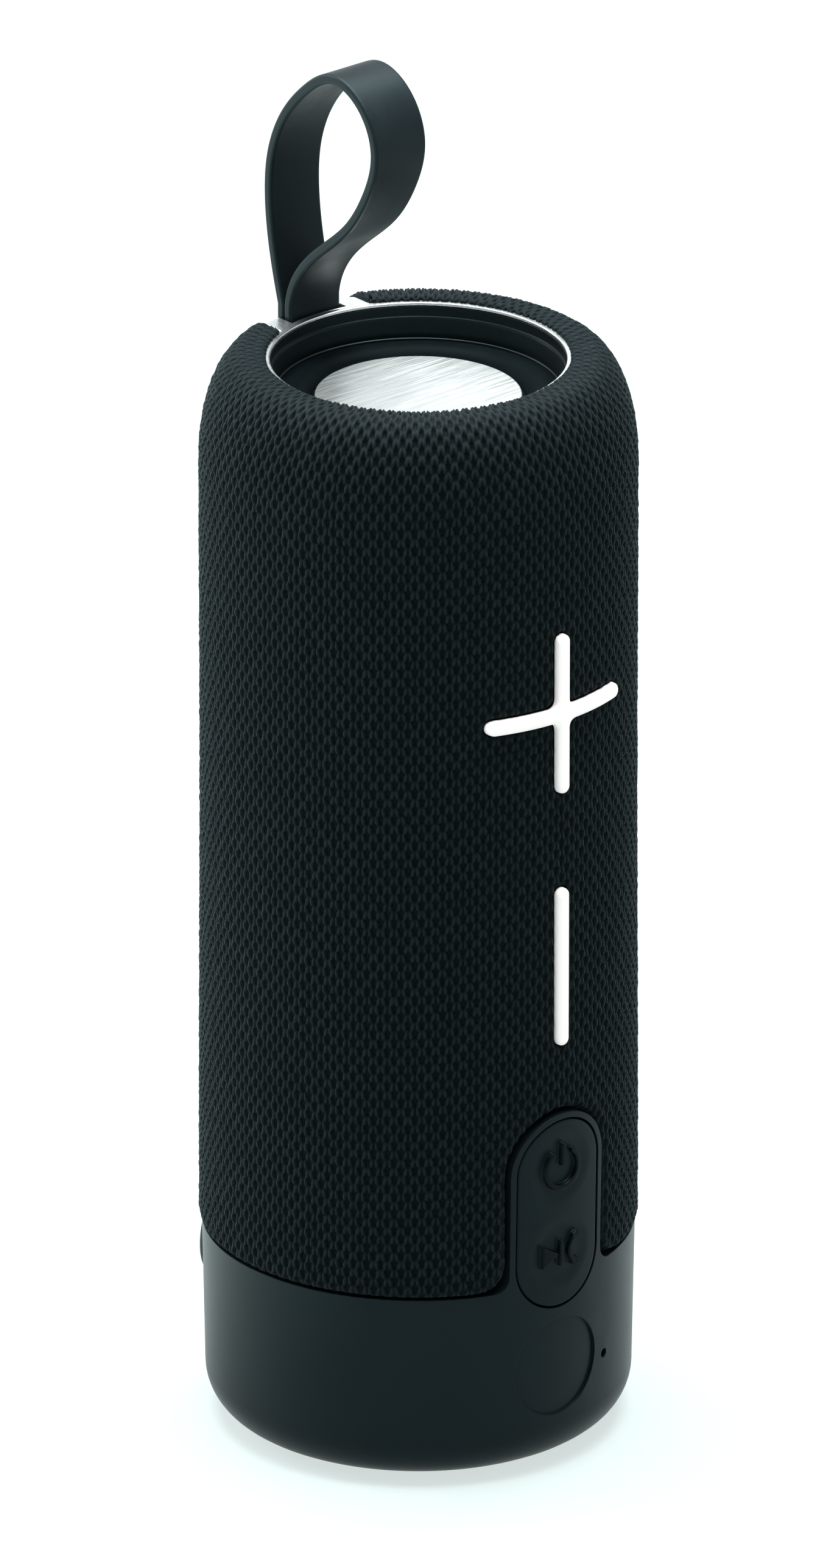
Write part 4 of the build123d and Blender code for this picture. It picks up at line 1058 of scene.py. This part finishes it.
# ---- inside ------------------------------------------------------------------------------------
class SPEAKER_OT_inner_parts(bpy.types.Operator):
    """Finish the tube, the cap, the drivers, the boards, the cells and everything else inside"""
    bl_idname = "speaker.inner_parts"
    bl_label = "Inner parts"

    def execute(self, context):
        black = moulded_finish("inner_plastic", (0.012, 0.013, 0.014), 0.5)
        switch = moulded_finish("switch_black", (0.02, 0.02, 0.021), 0.4)
        soft = rubber_finish("inner_rubber", (0.014, 0.015, 0.016), 0.6)
        steel = metal_finish("steel", (0.62, 0.62, 0.6), 0.35)
        finishes = {
            black: ["grille_tube", "top_cap", "key_tray", "bulkhead", "battery_cradle", "battery_clip",
                    "baffle_left", "baffle_right", "driver_baskets"],
            switch: [word + "_switch" for word in ("power", "play", "plus", "minus")] + [
                "audio_jack", "amplifier_chip", "capacitors"],
            soft: ["keypad_membrane", "chamber_seal", "microphone_boot", "driver_suspension_left",
                   "driver_suspension_right"],
            steel: [word + "_stem" for word in ("power", "play", "plus", "minus")] + [
                "strap_pin", "usb_socket", "card_slot", "base_screws", "key_board_screws",
                "volume_board_screws", "radio_shield", "microphone", "driver_front_plates",
                "driver_yokes", "radiator_weight"],
            board_finish(): ["main_board", "key_board", "volume_board"],
            ferrite_finish(): ["driver_magnets"],
            wrap_finish(): ["battery_cell_left", "battery_cell_right"],
            paper_finish(): ["driver_cone_left", "driver_cone_right"],
        }
        for finish, nodes in finishes.items():
            dress(finish, *nodes)
        return {"FINISHED"}


# ---- stage -------------------------------------------------------------------------------------
def area_light(name, place, aim, size, watts):
    """A soft square light."""
    lamp = bpy.data.lights.new(name, "AREA")
    lamp.shape, lamp.size, lamp.energy = "SQUARE", size, watts
    made = bpy.data.objects.new(name, lamp)
    made.location = place
    made.rotation_mode = "QUATERNION"
    made.rotation_quaternion = (aim - place).to_track_quat("-Z", "Y")
    bpy.context.scene.collection.objects.link(made)


def surroundings(towards):
    """A pale studio all round, dim on the camera's side, which towards points to."""
    world = bpy.data.worlds.new("studio")
    bpy.context.scene.world = world
    world.use_nodes = True
    tree = world.node_tree
    coordinates = tree.nodes.new("ShaderNodeTexCoord")
    facing = tree.nodes.new("ShaderNodeVectorMath")
    facing.operation = "DOT_PRODUCT"
    facing.inputs[1].default_value = towards
    shade = tree.nodes.new("ShaderNodeMapRange")
    shade.interpolation_type = "SMOOTHSTEP"
    for socket, value in zip(("From Min", "From Max", "To Min", "To Max"), (0.1, 0.85, 1.0, 0.35)):
        shade.inputs[socket].default_value = value
    background = tree.nodes["Background"]
    background.inputs["Color"].default_value = (0.95, 0.985, 1.0, 1)
    tree.links.new(coordinates.outputs["Generated"], facing.inputs[0])
    tree.links.new(facing.outputs["Value"], shade.inputs["Value"])
    tree.links.new(shade.outputs["Result"], background.inputs["Strength"])


class SPEAKER_OT_stage(bpy.types.Operator):
    """Lay the pale floor, set the soft light and stand the camera"""
    bl_idname = "speaker.stage"
    bl_label = "Floor, light and camera"

    def execute(self, context):
        settings = context.scene.speaker_stage
        scene = context.scene
        scene.view_settings.view_transform = "Standard"
        turn, rise = settings.azimuth, settings.elevation
        back = Vector((math.sin(turn) * math.cos(rise), -math.cos(turn) * math.cos(rise), math.sin(rise)))
        right = Vector((math.cos(turn), math.sin(turn), 0))
        level = Vector((math.sin(turn), -math.cos(turn), 0))
        aim = Vector((0, 0, settings.aim_height)) - right * settings.aim_aside
        lens = bpy.data.cameras.new("camera")
        lens.sensor_width = 36.0
        lens.lens = lens.sensor_width * settings.distance / settings.view_height
        lens.clip_start, lens.clip_end = 0.05, 50.0
        camera = bpy.data.objects.new("camera", lens)
        camera.location = aim + back * settings.distance
        camera.rotation_mode = "QUATERNION"
        camera.rotation_quaternion = (-back).to_track_quat("-Z", "Y")
        scene.collection.objects.link(camera)
        scene.camera = camera

        reach = 6.0
        corners = [(-reach, -reach, 0), (reach, -reach, 0), (reach, reach, 0), (-reach, reach, 0)]
        sheet = bpy.data.meshes.new("floor")
        sheet.from_pydata(corners, [], [(0, 1, 2, 3)])
        pale = Finish("floor", settings.floor, 0.7, specular_ior_level=0.0, emission_strength=1.0,
                      emission_color=(*settings.floor_glow, 1))
        mottle = pale.noise(0.4, 2)
        pale.set("Base Color", pale.mixed(mottle, tinted(settings.floor, 0.99), tinted(settings.floor, 1.0)))
        turned_places = pale.stretched((1, 1, 1), (0, 0, -turn))
        across = pale.node("ShaderNodeSeparateXYZ", {0: turned_places}).outputs[0]
        away = pale.node("ShaderNodeVectorMath", {0: pale.places}, operation="LENGTH").outputs["Value"]
        far_glow, left_glow = (1.05, 1.05, 1.05, 1), (1.6, 1.9, 1.85, 1)
        glow = pale.mixed(pale.span(away, 0.4, 1.2), (*settings.floor_glow, 1), far_glow)
        pale.set("Emission Color", pale.mixed(pale.span(across, -0.13, -0.045), left_glow, glow))
        make_object("floor", sheet, pale.material)

        surroundings(level)
        middle = Vector((0, 0, 0.12))
        area_light("over", middle + Vector((0, 0, 1.1)) - level * 0.12, middle, 1.0, 52.0)
        area_light("left", middle - right * 1.0 - level * 0.3 + Vector((0, 0, 0.55)), middle, 0.7, 11.0)
        return {"FINISHED"}


# ---- panel and registering ---------------------------------------------------------------------
OPERATORS = (
    SPEAKER_OT_stage, SPEAKER_OT_inner_parts, SPEAKER_OT_base, SPEAKER_OT_sleeve, SPEAKER_OT_volume_keys,
    SPEAKER_OT_keypad, SPEAKER_OT_rim, SPEAKER_OT_radiator, SPEAKER_OT_strap, SPEAKER_OT_flap)
SETTINGS = {
    "speaker_sleeve": SleeveSettings, "speaker_keys": KeySettings, "speaker_shell": ShellSettings,
    "speaker_top": TopSettings, "speaker_strap": StrapSettings, "speaker_stage": StageSettings}


class SPEAKER_PT_panel(bpy.types.Panel):
    """The speaker's operators and settings"""
    bl_idname = "SPEAKER_PT_panel"
    bl_label = "Speaker"
    bl_space_type = "VIEW_3D"
    bl_region_type = "UI"
    bl_category = "Speaker"

    def draw(self, context):
        for operator in OPERATORS:
            self.layout.operator(operator.bl_idname)
        for attribute, group in SETTINGS.items():
            box = self.layout.box()
            box.label(text=group.__doc__)
            for name in group.__annotations__:
                box.prop(getattr(context.scene, attribute), name)


def register():
    for group in (*SETTINGS.values(), *OPERATORS, SPEAKER_PT_panel):
        bpy.utils.register_class(group)
    for attribute, group in SETTINGS.items():
        setattr(bpy.types.Scene, attribute, PointerProperty(type=group))


def unregister():
    for attribute in SETTINGS:
        delattr(bpy.types.Scene, attribute)
    for group in reversed((*SETTINGS.values(), *OPERATORS, SPEAKER_PT_panel)):
        bpy.utils.unregister_class(group)


def main():
    register()
    for operator in OPERATORS:
        family, name = operator.bl_idname.split(".")
        getattr(getattr(bpy.ops, family), name)()


if __name__ == "__main__":
    main()
